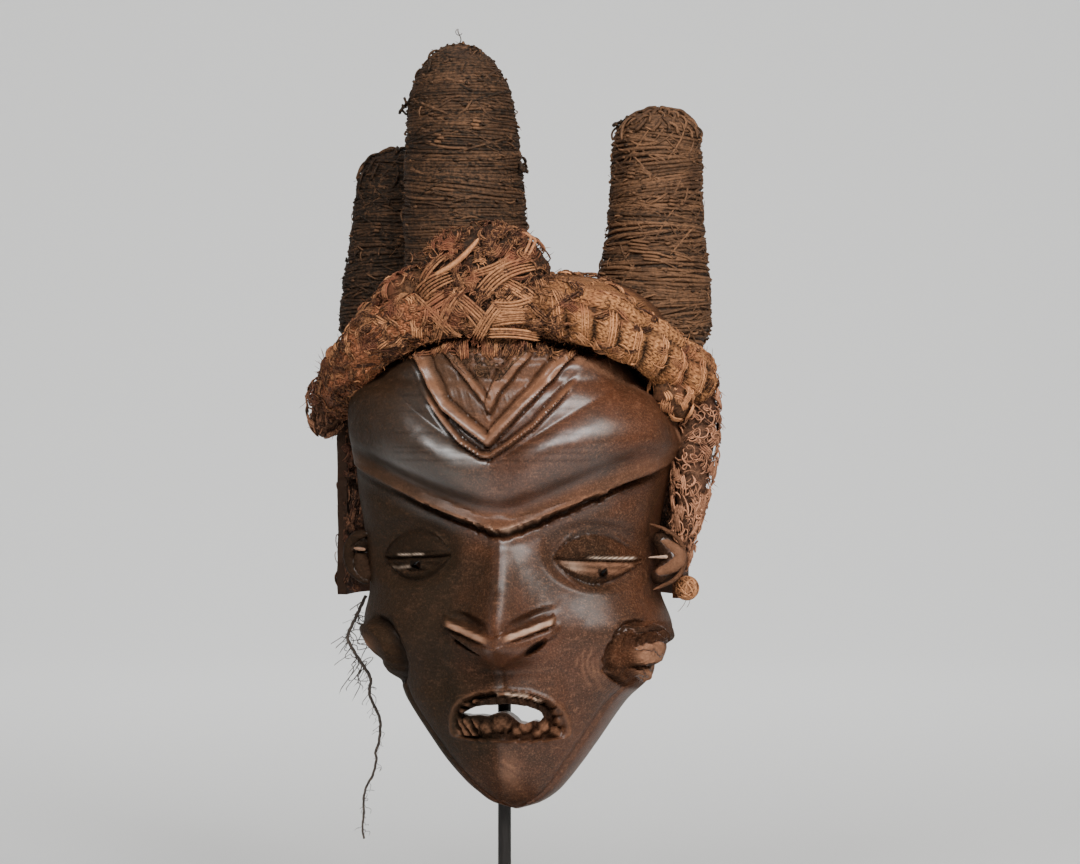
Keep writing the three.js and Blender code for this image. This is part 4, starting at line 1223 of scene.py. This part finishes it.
# A thin curl that stands off the centre horn's tip
def tipWisp(form):
    run = np.linspace(0, 1, 20)
    top = form.top
    level = top[1] + 0 * run
    curl = np.stack([top[0] - 1 + 1.5 * np.sin(5 * run) + 2 * run, level, top[2] - 1 + 10.5 * run], axis=1)
    hook = np.stack([top[0] + 2 * np.cos(4 * run + 2), level, top[2] + 7.5 + 2 * np.sin(4 * run + 2)], axis=1)
    return [(curl * mm, 0.3 * mm, 0.1), (hook * mm, 0.22 * mm, 0.1)]


def hornPieces(look):
    for name, horn in horns.items():
        form = HornForm(horn)

        def place(across, along):
            lift = np.full(len(across), -0.8)
            points = form.point(2 * math.pi * across, along * form.length, lift)
            return points * mm, {"shade": np.full(len(across), 0.08)}

        core = gridObject(name + "Core", 48, 60, place)
        dress(smoothed(core, 60), look, [horn["node"]])
        lines = windings(form, horn) + (tipWisp(form) if name == "hornCentre" else [])
        dress(strands(name, lines), look, [])


twineLook = fibreLook("wound raffia", (0.007, 0.0045, 0.0032), (0.165, 0.080, 0.040), (0.020, 0.0095, 0.0055),
                      520, 0.3)
hornPieces(twineLook)
print("stage: horns")


# The cap: a knitted crown and hood, and the roll along its front edge
capRings = [(441, 12, 10), (439, 42, 36), (433, 68, 60), (422, 87, 76), (406, 99, 85), (385, 106, 89),
            (350, 108, 90), (300, 108, 88), (244, 108.3, 84)]
cap = {"x": -4, "y": 40, "squareness": 0.8, "wall": 7, "hoodFront": 31.5, "bottom": 244, "windowTop": 409,
       "stitches": 620, "seed": 43}
roll = {
    "radius": 16.2, "steps": 460, "seed": 44,
    "points": [(-105, 26, 362), (-95, -3, 378), (-72, -26, 400), (-32, -34, 417), (10, -36, 421),
               (52, -33, 414.5), (83, -20, 400), (103, 2, 385), (115, 26, 374)],
}
halfWidthAt, halfDepthAt = (smoothColumn(capRings[::-1], k) for k in (1, 2))


def capPoint(turn, level, grow):
    aside, ahead = (np.sign(v) * np.abs(v) ** cap["squareness"] for v in (np.sin(turn), np.cos(turn)))
    level = np.clip(level, capRings[-1][0], capRings[0][0])
    x = cap["x"] + (halfWidthAt(level) + grow) * aside
    return np.stack([x, cap["y"] - (halfDepthAt(level) + grow) * ahead, level + grow], axis=1)


def capRibs(across, level):
    ribs = 1.4 * wander(across * 90, 8, 41) + 1.0 * wander(across * 60 + level, 11, 42) - 1.0
    return ribs * step(441, 425, level)


# The whole cap, or the plain body inside it that hollows it out
def capBody(name, columns, rows, grow, bottom, knitted):
    low, high = capRings[-1][0], capRings[0][0]

    def place(across, along):
        level = low + (high - low) * (1 - (1 - along) ** 2.2)
        turn = 2 * math.pi * across
        ribs = np.full(len(turn), float(grow))
        if knitted:
            ribs += capRibs(across, level)
        points = capPoint(turn, level, ribs)
        points[:, 2] = np.where(along <= 1e-6, bottom, level + grow)
        front = step(396, 412, level) * step(-0.1, 0.35, np.cos(turn))
        return points * mm, {"shade": 0.04 + 0.36 * front, "dark": 0.72 - 0.5 * front,
                             "knitAcross": across * cap["stitches"], "knitDown": level}

    return gridObject(name, columns, rows, place)


hoodRaffia = [  # around and up the hood, then as in tangles
    ((-314, -190), (252, 420), 100, 0.12, 1.15, 0.3, 0.1, (0.1, 0.5), 0.14),
    ((-190, -60), (252, 420), 70, 0.1, 1.15, 0.3, 0.1, (1.5, 0.5), 0.14),
    ((-60, 190), (252, 420), 110, 0.3, 1.15, 0.3, 0.1, (1.5, 0.5), 0.14),
    ((190, 314), (252, 420), 100, 0.12, 1.15, 0.3, 0.1, (0.1, 0.5), 0.14),
    ((-165, -100), (246, 345), 90, 0.1, 1.0, 0.5, 0.2, (1.5, 0.5), 0.1),
    ((80, 165), (246, 345), 90, 0.4, 1.0, 0.5, 0.2, (1.5, 0.5)),
]
crownRaffia = [  # around the crown and out from its middle
    ((-200, -110), (18, 70), 60, 0.12, 0.9, 0.35, 0.1, None, 0.26),
    ((-110, 0), (18, 100), 130, 0.25, 0.9, 0.35, 0.1, None, 0.26),
    ((0, 110), (18, 100), 140, 0.28, 0.9, 0.35, 0.1, None, 0.26),
    ((110, 200), (18, 70), 60, 0.12, 0.9, 0.35, 0.1, None, 0.26),
]
hoodEdgeRaffia = [  # sideways and up on the hood's front edges
    ((-105, -95), (247, 350), 120, 0.03, 0.8, 0.5, 0.15, (1.4, 0.6), 0.12),
    ((93, 101), (247, 350), 120, 0.25, 0.8, 0.5, 0.15, (1.4, 0.6), 0.12),
]


def capTangle():
    chance = random.Random(cap["seed"])
    ways, levels = [0, 30, 57, 79, 99, 121], [ring[0] for ring in capRings[:6]]

    def onHood(a, b, lift):
        return capPoint(a / 100, b, lift + 0.2 + capRibs(a / 200 / math.pi % 1, b))

    def onCrown(a, b, lift):
        level = np.interp(b, ways, levels)
        return capPoint(a / 80, level, lift + 0.1 + capRibs(a / 160 / math.pi % 1, level))

    def onEdge(a, b, lift):
        return np.stack([a, cap["hoodFront"] - 0.3 - lift, b], axis=1)

    hood = tangles(onHood, hoodRaffia, chance)
    crown = tangles(onCrown, crownRaffia, chance)
    behind, high = (cap["hoodFront"] + 1.5) * mm, 0.4  # nothing hangs in the window
    hood = [strand for strand in hood if strand[0][:, 1].min() > behind or strand[0][:, 2].min() > high]
    return hood + tangles(onEdge, hoodEdgeRaffia, chance), crown


def knittedCap():
    shell = capBody("cap", 240, 64, 0, cap["bottom"], True)
    hollow = capBody("hollow", 60, 16, -cap["wall"], 220, False)
    top = [(x, cap["windowTop"] - 43 * min(1, abs(x) / 110) ** 2) for x in range(-150, 151, 25)]
    window = throughCut("window", top + [(150, 200), (-150, 200)], cap["hoodFront"] - 120, cap["hoodFront"])
    inner = faceBody("inner", frontColumns=80, backColumns=6, rows=60, inset=-0.4, behind=0.4,
                     bottom=120, top=402.4, fine=False)
    combine(shell, [hollow, window, inner], "DIFFERENCE")
    # Painted shade on the hood's cut front edge, left of the fringe
    paintShadeIn(shell, (-200, cap["hoodFront"] - 0.2, 200), (90, cap["hoodFront"] + 0.2, 380), 0.93)
    return smoothed(shell, 50)


# Directions ahead, to the front and up at each point of a path
def frames(path):
    ahead = np.gradient(path, axis=0)
    ahead /= np.linalg.norm(ahead, axis=1, keepdims=True)
    up = np.array([0, 0.25, 1.0]) - (ahead @ np.array([0, 0.25, 1.0]))[:, None] * ahead
    up /= np.linalg.norm(up, axis=1, keepdims=True)
    return ahead, np.cross(ahead, up), up


# Lift and darkness of the roll's surface, by place along and around it. Turn 0 is the front, a quarter the top
def rollRelief(x, run, turn):
    right = step(20, 50, x)
    front = swell((turn + 0.75) / 0.75)  # the pleated band low on the front
    pleat = np.abs(np.sin(math.pi * (run + 5 * turn + 3 * wander(run, 19, 51)) / 15))
    fold = (2.2 * right + 0.8) * (pleat ** 0.55 - 0.62) * front * 1.9
    crease = swell((turn - 0.12 - 0.2 * wander(run, 22, 52)) / 0.14) * (0.3 + 0.7 * right)
    lump = 2.0 * wander(run, 13, 53) * np.cos(turn - 0.6) + 1.6 * wander(run + 40 * turn, 11, 54)
    lump += 1.2 * wander(run * 1.7 - 30 * turn, 7, 56) * (1 - 0.6 * right)
    # Painted shade in the pleats' hollows and in the creases
    dark = np.clip((1 - pleat) ** 2.5 * front * (0.4 + right) + 0.7 * crease, 0, 1)
    knitted = step(-92, -78, x) * step(-30, -44, x)
    darkening = 0.45 + 0.5 * wander(run * 1.3 + 25 * turn, 9, 57)
    dark = np.maximum(dark, darkening * (1 - right) * (1 - 0.85 * knitted))
    return fold - 1.8 * crease + lump, dark


class RollForm:
    def __init__(self):
        self.path, self.length = smoothPath(roll["points"], roll["steps"])
        _, self.front, self.up = frames(self.path)

    def surface(self, run, turn, lift):
        last = roll["steps"] - 1
        i = np.clip(np.round(run / self.length * last).astype(int), 0, last)
        relief, dark = rollRelief(self.path[i][:, 0], run, turn)
        ends = np.sqrt(np.clip(np.minimum(run, self.length - run) / 9, 0, 1))
        radius = ((roll["radius"] + relief) * (0.35 + 0.65 * ends) + lift)[:, None]
        outward = np.cos(turn)[:, None] * self.front[i] + np.sin(turn)[:, None] * self.up[i]
        return self.path[i] + radius * outward, dark


def rollPiece(form, look):
    def place(across, along):
        run, turn = along * form.length, 2 * math.pi * across - math.pi
        points, dark = form.surface(run, turn, 0)
        x = points[:, 0]
        shade = 0.14 + 0.38 * step(10, 60, x) + 0.14 * wander(run, 9, 55)
        shade += 0.22 * step(-92, -78, x) * step(-30, -44, x)
        return points * mm, {"shade": shade, "dark": dark, "rosy": step(30, -15, x),
                             "knitAcross": run, "knitDown": turn * roll["radius"]}

    piece = gridObject("roll", 92, 330, place)
    return dress(smoothed(piece, 70), look, [])


def rollTangle(form):
    chance = random.Random(roll["seed"])
    edge = form.length - 4

    def place(a, b, lift):
        return form.surface(a, b / roll["radius"], lift)[0]

    lines = tangles(place, [  # along and around the roll
        ((4, 45), (-32, 24), 180, 0.08, 0.85, 0.5, 0.3, (0.9, 0.8), 0.14),
        ((40, 100), (-30, 22), 60, 0.1, 0.95, 0.35, 0.1, (0.9, 0.8), 0.1),
        ((40, 100), (-30, 22), 70, 0.36, 0.8, 0.35, 0.1, (0.9, 0.8), 0.2),
        ((75, 200), (-36, 24), 240, 0.07, 1.0, 0.5, 0.06, None, 0.1),
        ((75, 200), (-32, -12), 90, 0.2, 0.85, 0.6, 0.2, None, 0.2),
        ((85, 195), (-34, 24), 170, 0.4, 0.85, 0.5, 0.08),
        ((190, edge), (-32, 26), 60, 0.15, 0.8, 0.4, 0.2, None, 0.1),
        ((190, edge), (-32, 26), 90, 0.5, 0.85, 0.4, 0.3),
    ], chance)
    turn = np.linspace(0.25, -1.5, 14)
    for k in range(7):  # the pleats' pale edges
        start = form.length - 118 + 15 * k + 3
        for shift in (0, 1.7, 3.4):
            points = place(start + shift - 5 * turn, turn * roll["radius"], np.full(14, 0.2)) * mm
            lines.append((points, 0.5 * mm, chance.uniform(0.5, 0.95)))
    return lines


# Dark, light, accent, grain, speckle, and a stitch's width and height in millimetres
goldLook = fibreLook("knitted raffia", (0.07, 0.023, 0.009), (0.56, 0.25, 0.097), (0.2, 0.07, 0.03),
                     700, 0.2, (3.2, 3.0))
strandLook = fibreLook("raffia strands", (0.018, 0.006, 0.0035), (0.52, 0.232, 0.103), (0.15, 0.046, 0.024),
                       600, 0.26)
redLook = fibreLook("reddish raffia", (0.014, 0.006, 0.004), (0.46, 0.21, 0.115), (0.085, 0.028, 0.017),
                    600, 0.26)
dress(knittedCap(), goldLook, ["raffia_cap"])
capLines, topLines = capTangle()
dress(strands("capStrands", capLines), redLook, [])
dress(strands("capTopStrands", topLines), strandLook, [])
rollForm = RollForm()
rollPiece(rollForm, goldLook)
dress(strands("rollStrands", rollTangle(rollForm)), strandLook, [])
print("stage: cap")


# The tuft in the middle, the gathered raffia at both ends of the roll, and the knotted ball
tuft = {"centre": (-4, -37, 434), "size": (41, 21, 35), "stripSeed": 23, "curlSeed": 29, "frontSeed": 37}
gathered = {  # both ends of each body of gathered raffia, its radii there, and its strands
    "clump": {"start": (-110, 25, 374), "end": (-116, 28, 354), "radii": (14, 14.5), "strands": 300,
              "seed": 71, "shade": 0.15, "curl": 0.7, "look": redLook},
    "fringe": {"start": (115, 26, 370), "end": (105, 23, 266), "radii": (18, 7), "strands": 720,
               "seed": 72, "shade": 0.62, "curl": 0.75, "look": redLook},
    "lobe": {"start": (100, -2, 370), "end": (103, 4, 362), "radii": (13, 12), "strands": 60,
             "seed": 73, "shade": 0.7, "curl": 0.4, "look": strandLook},
    "saddle": {"start": (-40, -35, 433), "end": (-64, -29, 425), "radii": (12.5, 11), "strands": 100,
               "seed": 74, "shade": 0.2, "curl": 0.5, "look": strandLook},
}
ball = {"centre": (107, 23.7, 250.6), "radius": 7.3, "windings": 30, "seed": 31,
        "ends": [(0.9, -0.2, -1.6), (0.3, -0.3, -1.9), (1.3, 0, -0.6)]}


def gatheredPlace(form, s, turn, lift):
    start, end = np.array(form["start"], float), np.array(form["end"], float)
    r0, r1 = form["radii"]
    axis = (end - start) / np.linalg.norm(end - start)
    side = np.cross(axis, [0.0, 1.0, 0.0])
    side /= np.linalg.norm(side)
    front = np.cross(side, axis)
    radius = (r0 + (r1 - r0) * s) * np.sin(math.pi * np.clip(s, 0, 1)) ** 0.6 + lift
    along = -r0 + (np.linalg.norm(end - start) + r0 + r1) * s
    outward = np.sin(turn)[:, None] * side - np.cos(turn)[:, None] * front
    return start + along[:, None] * axis + radius[:, None] * outward


def gatheredPiece(name, form):
    rough, seed = 1.2, form["seed"]

    def place(across, along):
        turn = 2 * math.pi * across
        lift = rough * (wander(turn * 6 + along * 40, 4, seed) + wander(along * 90, 7, seed + 1)) - rough - 0.8
        points = gatheredPlace(form, along, turn, lift * np.sin(math.pi * along) ** 0.5)
        # Painted shade, darker where the surface dips
        dark = np.clip(0.5 - lift / rough * 0.4, 0, 1)
        return points * mm, {"shade": np.full(len(turn), 0.3), "dark": dark * 0.6}

    piece = gridObject(name, 48, 60, place)
    dress(smoothed(piece, 60), form["look"], [])


# Strands that lie on and hang from a body of gathered raffia
def gatheredTangle(form):
    length = np.linalg.norm(np.array(form["end"]) - np.array(form["start"])) + sum(form["radii"])
    girth = 2 * math.pi * sum(form["radii"]) / 2

    def place(a, b, lift):
        return gatheredPlace(form, np.clip(b / length, 0.015, 0.985), 2 * math.pi * a / girth, lift)

    spans = ((0, girth), (0.04 * length, 0.96 * length))
    return tangle(place, spans, form["strands"], random.Random(form["seed"]), form["shade"], 1.0, form["curl"],
                  0.15, (1.5, 0.7))


# A point on the tuft from -1 to 1 sideways and upwards, as seen from the front
def tuftPlace(u, v, lift):
    centre, size = np.array(tuft["centre"], float), np.array(tuft["size"], float)
    depth = np.sqrt(np.clip(1 - u * u - v * v, 0, 1))
    scale = 1 + lift / size.mean()
    return centre + size * np.stack([u * scale, -depth * scale, v * scale], axis=1)


# Directions all round a middle, from 0 to 1 around and from below to above
def allRound(across, along):
    turn, rise = 2 * math.pi * across, math.pi * (along - 0.5)
    return np.stack([np.sin(turn) * np.cos(rise), -np.cos(turn) * np.cos(rise), np.sin(rise)], axis=1)


def tuftMound(look):
    def place(across, along):
        direction = allRound(across, along)
        lumps = 1.8 * grain(direction * 40, 11, 61) + 1.0 * grain(direction * 40, 4.5, 62) - 2.2
        knit = 0.35 * np.cos(direction[:, 0] * 95) * np.cos(direction[:, 2] * 88)
        points = np.array(tuft["centre"]) + direction * (np.array(tuft["size"]) + (lumps + knit)[:, None])
        back = step(-0.1, 0.4, direction[:, 1])
        # Painted shade in the dips between lumps, less at the back
        dark = np.clip(0.35 - 0.35 * lumps, 0, 0.9) * (1 - 0.6 * back)
        return points * mm, {"shade": 0.12 + 0.1 * knit + 0.25 * back, "dark": dark}

    piece = gridObject("tuft", 150, 90, place)
    return dress(smoothed(piece, 60), look, ["front_tuft"])


# Bundles of strips across the tuft: start and end from -1 to 1, number, half width and shade
tuftStrips = [
    ((-0.75, 0.05), (0.0, 0.72), 1, 1.9, 0.95), ((0.62, 0.35), (0.66, 0.95), 2, 1.1, 0.8),
    ((0.05, -0.2), (0.75, 0.28), 5, 0.9, 0.7), ((-0.1, 0.1), (0.5, 0.42), 3, 0.8, 0.62),
    ((0.15, -0.62), (0.85, -0.5), 5, 0.9, 0.75), ((0.2, -0.42), (0.8, -0.3), 4, 0.9, 0.7),
    ((-0.95, -0.3), (-0.4, 0.1), 5, 0.9, 0.55), ((-0.6, -0.75), (-0.2, -0.1), 4, 0.8, 0.55),
    ((-0.35, -0.2), (0.15, -0.75), 4, 0.8, 0.6), ((-0.9, -0.1), (-0.5, 0.45), 3, 0.9, 0.5),
]


def tuftBundles():
    chance = random.Random(tuft["stripSeed"])
    lines, bundles = [], list(tuftStrips)
    for _ in range(46):
        u, v = chance.uniform(-0.85, 0.8), chance.uniform(-0.85, 0.75)
        heading, reach = chance.uniform(0, math.pi), chance.uniform(0.12, 0.34)
        end = (u + reach * math.cos(heading), v + reach * math.sin(heading))
        bundles.append(((u, v), end, chance.randint(1, 4), chance.uniform(0.4, 0.65), chance.uniform(0.03, 0.5)))
    for start, end, count, width, shade in bundles:
        start, end = np.array(start), np.array(end)
        across = np.array([-(end - start)[1], (end - start)[0]])
        across /= np.linalg.norm(across)
        bow = chance.uniform(-0.12, 0.12)
        for k in range(count):
            run = np.linspace(-0.03, 1.03, 12)[:, None]
            offset = (k - (count - 1) / 2) * 2.1 * width / 38
            uv = start + (end - start) * run + across * (offset + bow * np.sin(math.pi * run))
            uv /= np.maximum(1, np.linalg.norm(uv, axis=1, keepdims=True) / 0.97)
            lift = 0.2 + 1.3 * np.sin(math.pi * np.clip(run[:, 0], 0, 1)) + chance.uniform(0, 0.8)
            radius = width * (0.45 + 0.55 * np.sin(math.pi * np.clip(run[:, 0], 0, 1)) ** 0.5)
            lines.append((tuftPlace(uv[:, 0], uv[:, 1], lift) * mm, radius * mm,
                          np.clip(0.72 * shade + chance.gauss(0, 0.08), 0, 1)))
    return lines


def tuftCurls():
    def place(a, b, lift):
        u, v = a / tuft["size"][0], b / tuft["size"][2]
        over = np.maximum(1, np.hypot(u, v) / 0.985)
        return tuftPlace(u / over, v / over, lift)

    def placeBack(a, b, lift):
        points = place(a, b, lift)
        points[:, 1] = 2 * tuft["centre"][1] - points[:, 1]
        return points

    chance = random.Random(tuft["curlSeed"])
    lines = tangles(place, [  # sideways and up from the tuft's middle
        ((-38, 38), (-33, 33), 240, 0.08, 0.8, 0.6, 0.12, None, 0.1),
        ((-38, 38), (-33, 20), 110, 0.34, 0.7, 0.55, 0.12, None, 0.2),
        ((0, 34), (12, 33), 90, 0.03, 0.95, 0.8, 0.1, None, 0.05),
    ], chance)
    return lines + tangle(placeBack, ((-38, 38), (-4, 33)), 90, chance, 0.25, 0.9, 0.5, 0.12, None, 0.15)


# Places on the underside of the roll, by place sideways
def rollBottom(across):
    run = np.interp(across, rollForm.path[:, 0], np.linspace(0, rollForm.length, roll["steps"]))
    return rollForm.surface(run, np.full(len(run), -1.1), 0)[0]


# Bundles across the front: start and end sideways and upwards, number, half width and shade
frontBundles = [
    ((-34, 398), (-8, 443), 4, 0.8, 0.5), ((-28, 440), (0, 404), 4, 0.85, 0.35),
    ((-8, 400), (16, 430), 5, 0.8, 0.62), ((4, 437), (30, 422), 5, 0.8, 0.6),
    ((2, 412), (34, 414), 6, 0.8, 0.62), ((0, 404), (30, 402), 4, 0.8, 0.7),
    ((-45, 412), (-20, 428), 5, 0.8, 0.55), ((-46, 426), (-22, 404), 4, 0.8, 0.5),
]


# Fibres left in the inner chevron, and long bundles that tie the tuft and the roll's middle together
def frontStrands():
    chance = random.Random(tuft["frontSeed"])

    def place(a, b, lift):
        y = -54.5 + ((a + 4) / 45) ** 2 * 11 + ((b - 428) / 40) ** 2 * 15 - lift
        return np.stack([a, y, b], axis=1)

    lines = tangles(place, [  # sideways and upwards
        ((-48, 30), (405, 450), 130, 0.06, 0.85, 0.6, 0.08, None, 0.1),
        ((-48, 30), (404, 440), 70, 0.3, 0.7, 0.5, 0.08, None, 0.2),
        ((-40, 26), (400, 412), 60, 0.12, 0.75, 0.75, 0.2, None, 0.14),
    ], chance)
    run = np.linspace(0, 1, 12)
    for start, end, count, width, shade in frontBundles:
        ahead = np.array(end, float) - start
        aside = np.array([-ahead[1], ahead[0]]) / np.linalg.norm(ahead)
        for k in range(count):
            bow = chance.uniform(0.5, 1.5) * np.sin(math.pi * run)
            off = (k - count / 2) * 1.9 * width + bow
            flat = np.array(start) + run[:, None] * ahead + off[:, None] * aside
            lift = 1.2 + 1.6 * np.sin(math.pi * run)
            lines.append((place(flat[:, 0], flat[:, 1], lift) * mm, width * mm,
                          np.clip(0.72 * shade + chance.gauss(0, 0.08), 0, 1)))

    def inside(a, b, lift):
        side = np.abs(a)
        floor = np.where(a < 0, chevronArms[4][1](side), chevronArms[5][1](side))
        return onFace(a, np.clip(np.maximum(b, floor + 1.5), 340, 396), lift * 0.7)

    def hem(a, b, lift):
        rise = np.clip((b - 391) / 8, 0, 1)
        low, high = onFace(a, np.clip(b, 386, 397), 0.6), rollBottom(a)
        points = low + (high - low) * (rise ** 1.5)[:, None]
        points[:, 1] -= lift
        points[:, 2] += 0.3 * np.clip(b - 397, 0, 20) - 0.3 * np.clip(386 - b, 0, 20)
        return points

    inner = tangle(inside, ((-24, 24), (374, 395)), 110, chance, 0.4, 0.7, 0.75, 0.1, None, 0.2)
    lines += tangle(hem, ((-52, 62), (391, 399)), 230, chance, 0.16, 0.8, 0.5, 0.1, (1.4, 0.6), 0.18)
    return inner, lines


def ballPiece(look):
    centre, radius = np.array(ball["centre"]), ball["radius"]

    def place(across, along):
        return (centre + allRound(across, along) * (radius - 0.9)) * mm, {"shade": np.full(len(across), 0.4)}

    core = gridObject("ballCore", 24, 16, place)
    dress(smoothed(core, 60), look, ["knot_ball"])
    chance = random.Random(ball["seed"])
    lines = []
    for _ in range(ball["windings"]):
        axis = Vector((chance.gauss(0, 1), chance.gauss(0, 1), chance.gauss(0, 1))).normalized()
        first = axis.orthogonal().normalized()
        second = axis.cross(first)
        off = chance.uniform(-0.45, 0.45)
        turn = np.linspace(0, chance.uniform(3, 6.3), 22)[:, None]
        flat = math.sqrt(1 - off * off)
        ring = np.cos(turn) * np.array(first) + np.sin(turn) * np.array(second)
        points = centre + (radius - 0.35) * (flat * ring + off * np.array(axis))
        lines.append((points * mm, chance.uniform(0.45, 0.75) * mm, chance.uniform(0.35, 0.9)))
    run = np.linspace(0, 1, 14)[:, None]
    bend = np.array([-0.9, 0, 0.3]) * run * run * 9
    for heading in ball["ends"]:
        lines.append((((centre + np.array(heading) * 9 * run) + bend) * mm, 0.18 * mm, 0.15))
    dress(strands("ball", lines), look, [])


tuftMound(strandLook)
dress(strands("tuftStrips", tuftBundles()), strandLook, [])
dress(strands("tuftCurls", tuftCurls()), strandLook, [])
innerLines, frontLines = frontStrands()
dress(strands("innerFibres", innerLines), twineLook, [])
dress(strands("frontStrands", frontLines), strandLook, [])
for name, form in gathered.items():
    gatheredPiece(name, form)
    dress(strands(name + "Curls", gatheredTangle(form)), form["look"], [])
ballPiece(strandLook)
print("stage: loose raffia")


# The stand keeps the frame's own solids
stand = {"dark": (0.012, 0.010, 0.009), "worn": (0.06, 0.048, 0.038), "rough": 0.42}


def standLook():
    look = Look("stand steel")
    wear = look.cloud(60, 5, 0.6, stretch=(1, 1, 0.2))
    color = look.mix(look.spread(wear, 0.5, 0.8), stand["dark"], stand["worn"])
    return look.finish(color=color, rough=look.spread(wear, 0.3, 0.8, stand["rough"], stand["rough"] + 0.2),
                       metal=0.6, normal=look.bump(wear, 0.15, 0.0003))


steel = standLook()
for node in ("stand_rod", "stand_foot"):
    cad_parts[node].data.materials.clear()
    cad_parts[node].data.materials.append(steel)
print("stage: stand")


# Studio: a pale floor that curves up all around, a key light from the viewer's right, two softer ones in front
studio = {"radius": 5.5, "curve": 2.5, "wall": 5, "below": 0.0004, "pale": (0.78, 0.785, 0.78),
          "air": (1, 0.97, 0.94), "airStrength": 0.15}
lights = {  # place, target, size, power and colour
    "key": ((1.4, -1.2, 1.55), (0, 0, 0.36), 0.9, 42, (1, 0.96, 0.91)),
    "gloss": ((-0.12, -1.4, 1.32), (0, 0, 0.4), 0.5, 27, (1, 1, 1)),
    "sheen": ((0.58, -1.28, 1.27), (0.04, 0, 0.4), 0.34, 26, (1, 1, 1)),
    "fill": ((-1.9, -1.4, 0.7), (0, 0, 0.34), 1.2, 1.5, (1, 1, 1)),
    "top": ((0.0, 0.5, 2.3), (0, 0, 0.4), 1.0, 10, (1, 1, 1)),
    "backdrop": ((-0.4, 1.9, 2.6), (-0.8, 5.0, 0.7), 1.6, 95, (1, 1, 1)),
}


def studioSweep():
    mesh = bmesh.new()
    profile = [(0.0, 0.0), (studio["radius"] - studio["curve"], 0.0)]
    for i in range(1, 13):
        turn = math.pi / 2 * i / 12
        profile.append((studio["radius"] - studio["curve"] * (1 - math.sin(turn)),
                        studio["curve"] * (1 - math.cos(turn))))
    profile.append((studio["radius"], studio["wall"]))
    rail = [mesh.verts.new((r, 0, z - studio["below"])) for r, z in profile]
    edges = [mesh.edges.new(pair) for pair in zip(rail, rail[1:])]
    bmesh.ops.spin(mesh, geom=rail + edges, cent=(0, 0, 0), axis=(0, 0, 1), angle=2 * math.pi, steps=96,
                   use_merge=True)
    bmesh.ops.remove_doubles(mesh, verts=mesh.verts, dist=1e-5)
    bmesh.ops.recalc_face_normals(mesh, faces=mesh.faces)
    data = bpy.data.meshes.new("sweep")
    mesh.to_mesh(data)
    mesh.free()
    data.shade_smooth()
    sweep = newObject("sweep", data)
    look = Look("studio")
    look.finish(color=(*studio["pale"], 1), rough=0.9, specular=0.1)
    data.materials.append(look.material)


def areaLight(name, place, target, size, power, color):
    data = bpy.data.lights.new(name, "AREA")
    data.shape, data.size, data.energy, data.color = "DISK", size, power, color
    light = newObject(name, data)
    light.location = place
    light.rotation_euler = (Vector(target) - Vector(place)).to_track_quat("-Z", "Y").to_euler()


studioSweep()
for name, settings in lights.items():
    areaLight(name, *settings)
world = bpy.data.worlds.new("studio")
bpy.context.scene.world = world
world.use_nodes = True
air = world.node_tree.nodes["Background"]
air.inputs["Color"].default_value = (*studio["air"], 1)
air.inputs["Strength"].default_value = studio["airStrength"]
print("stage: studio")
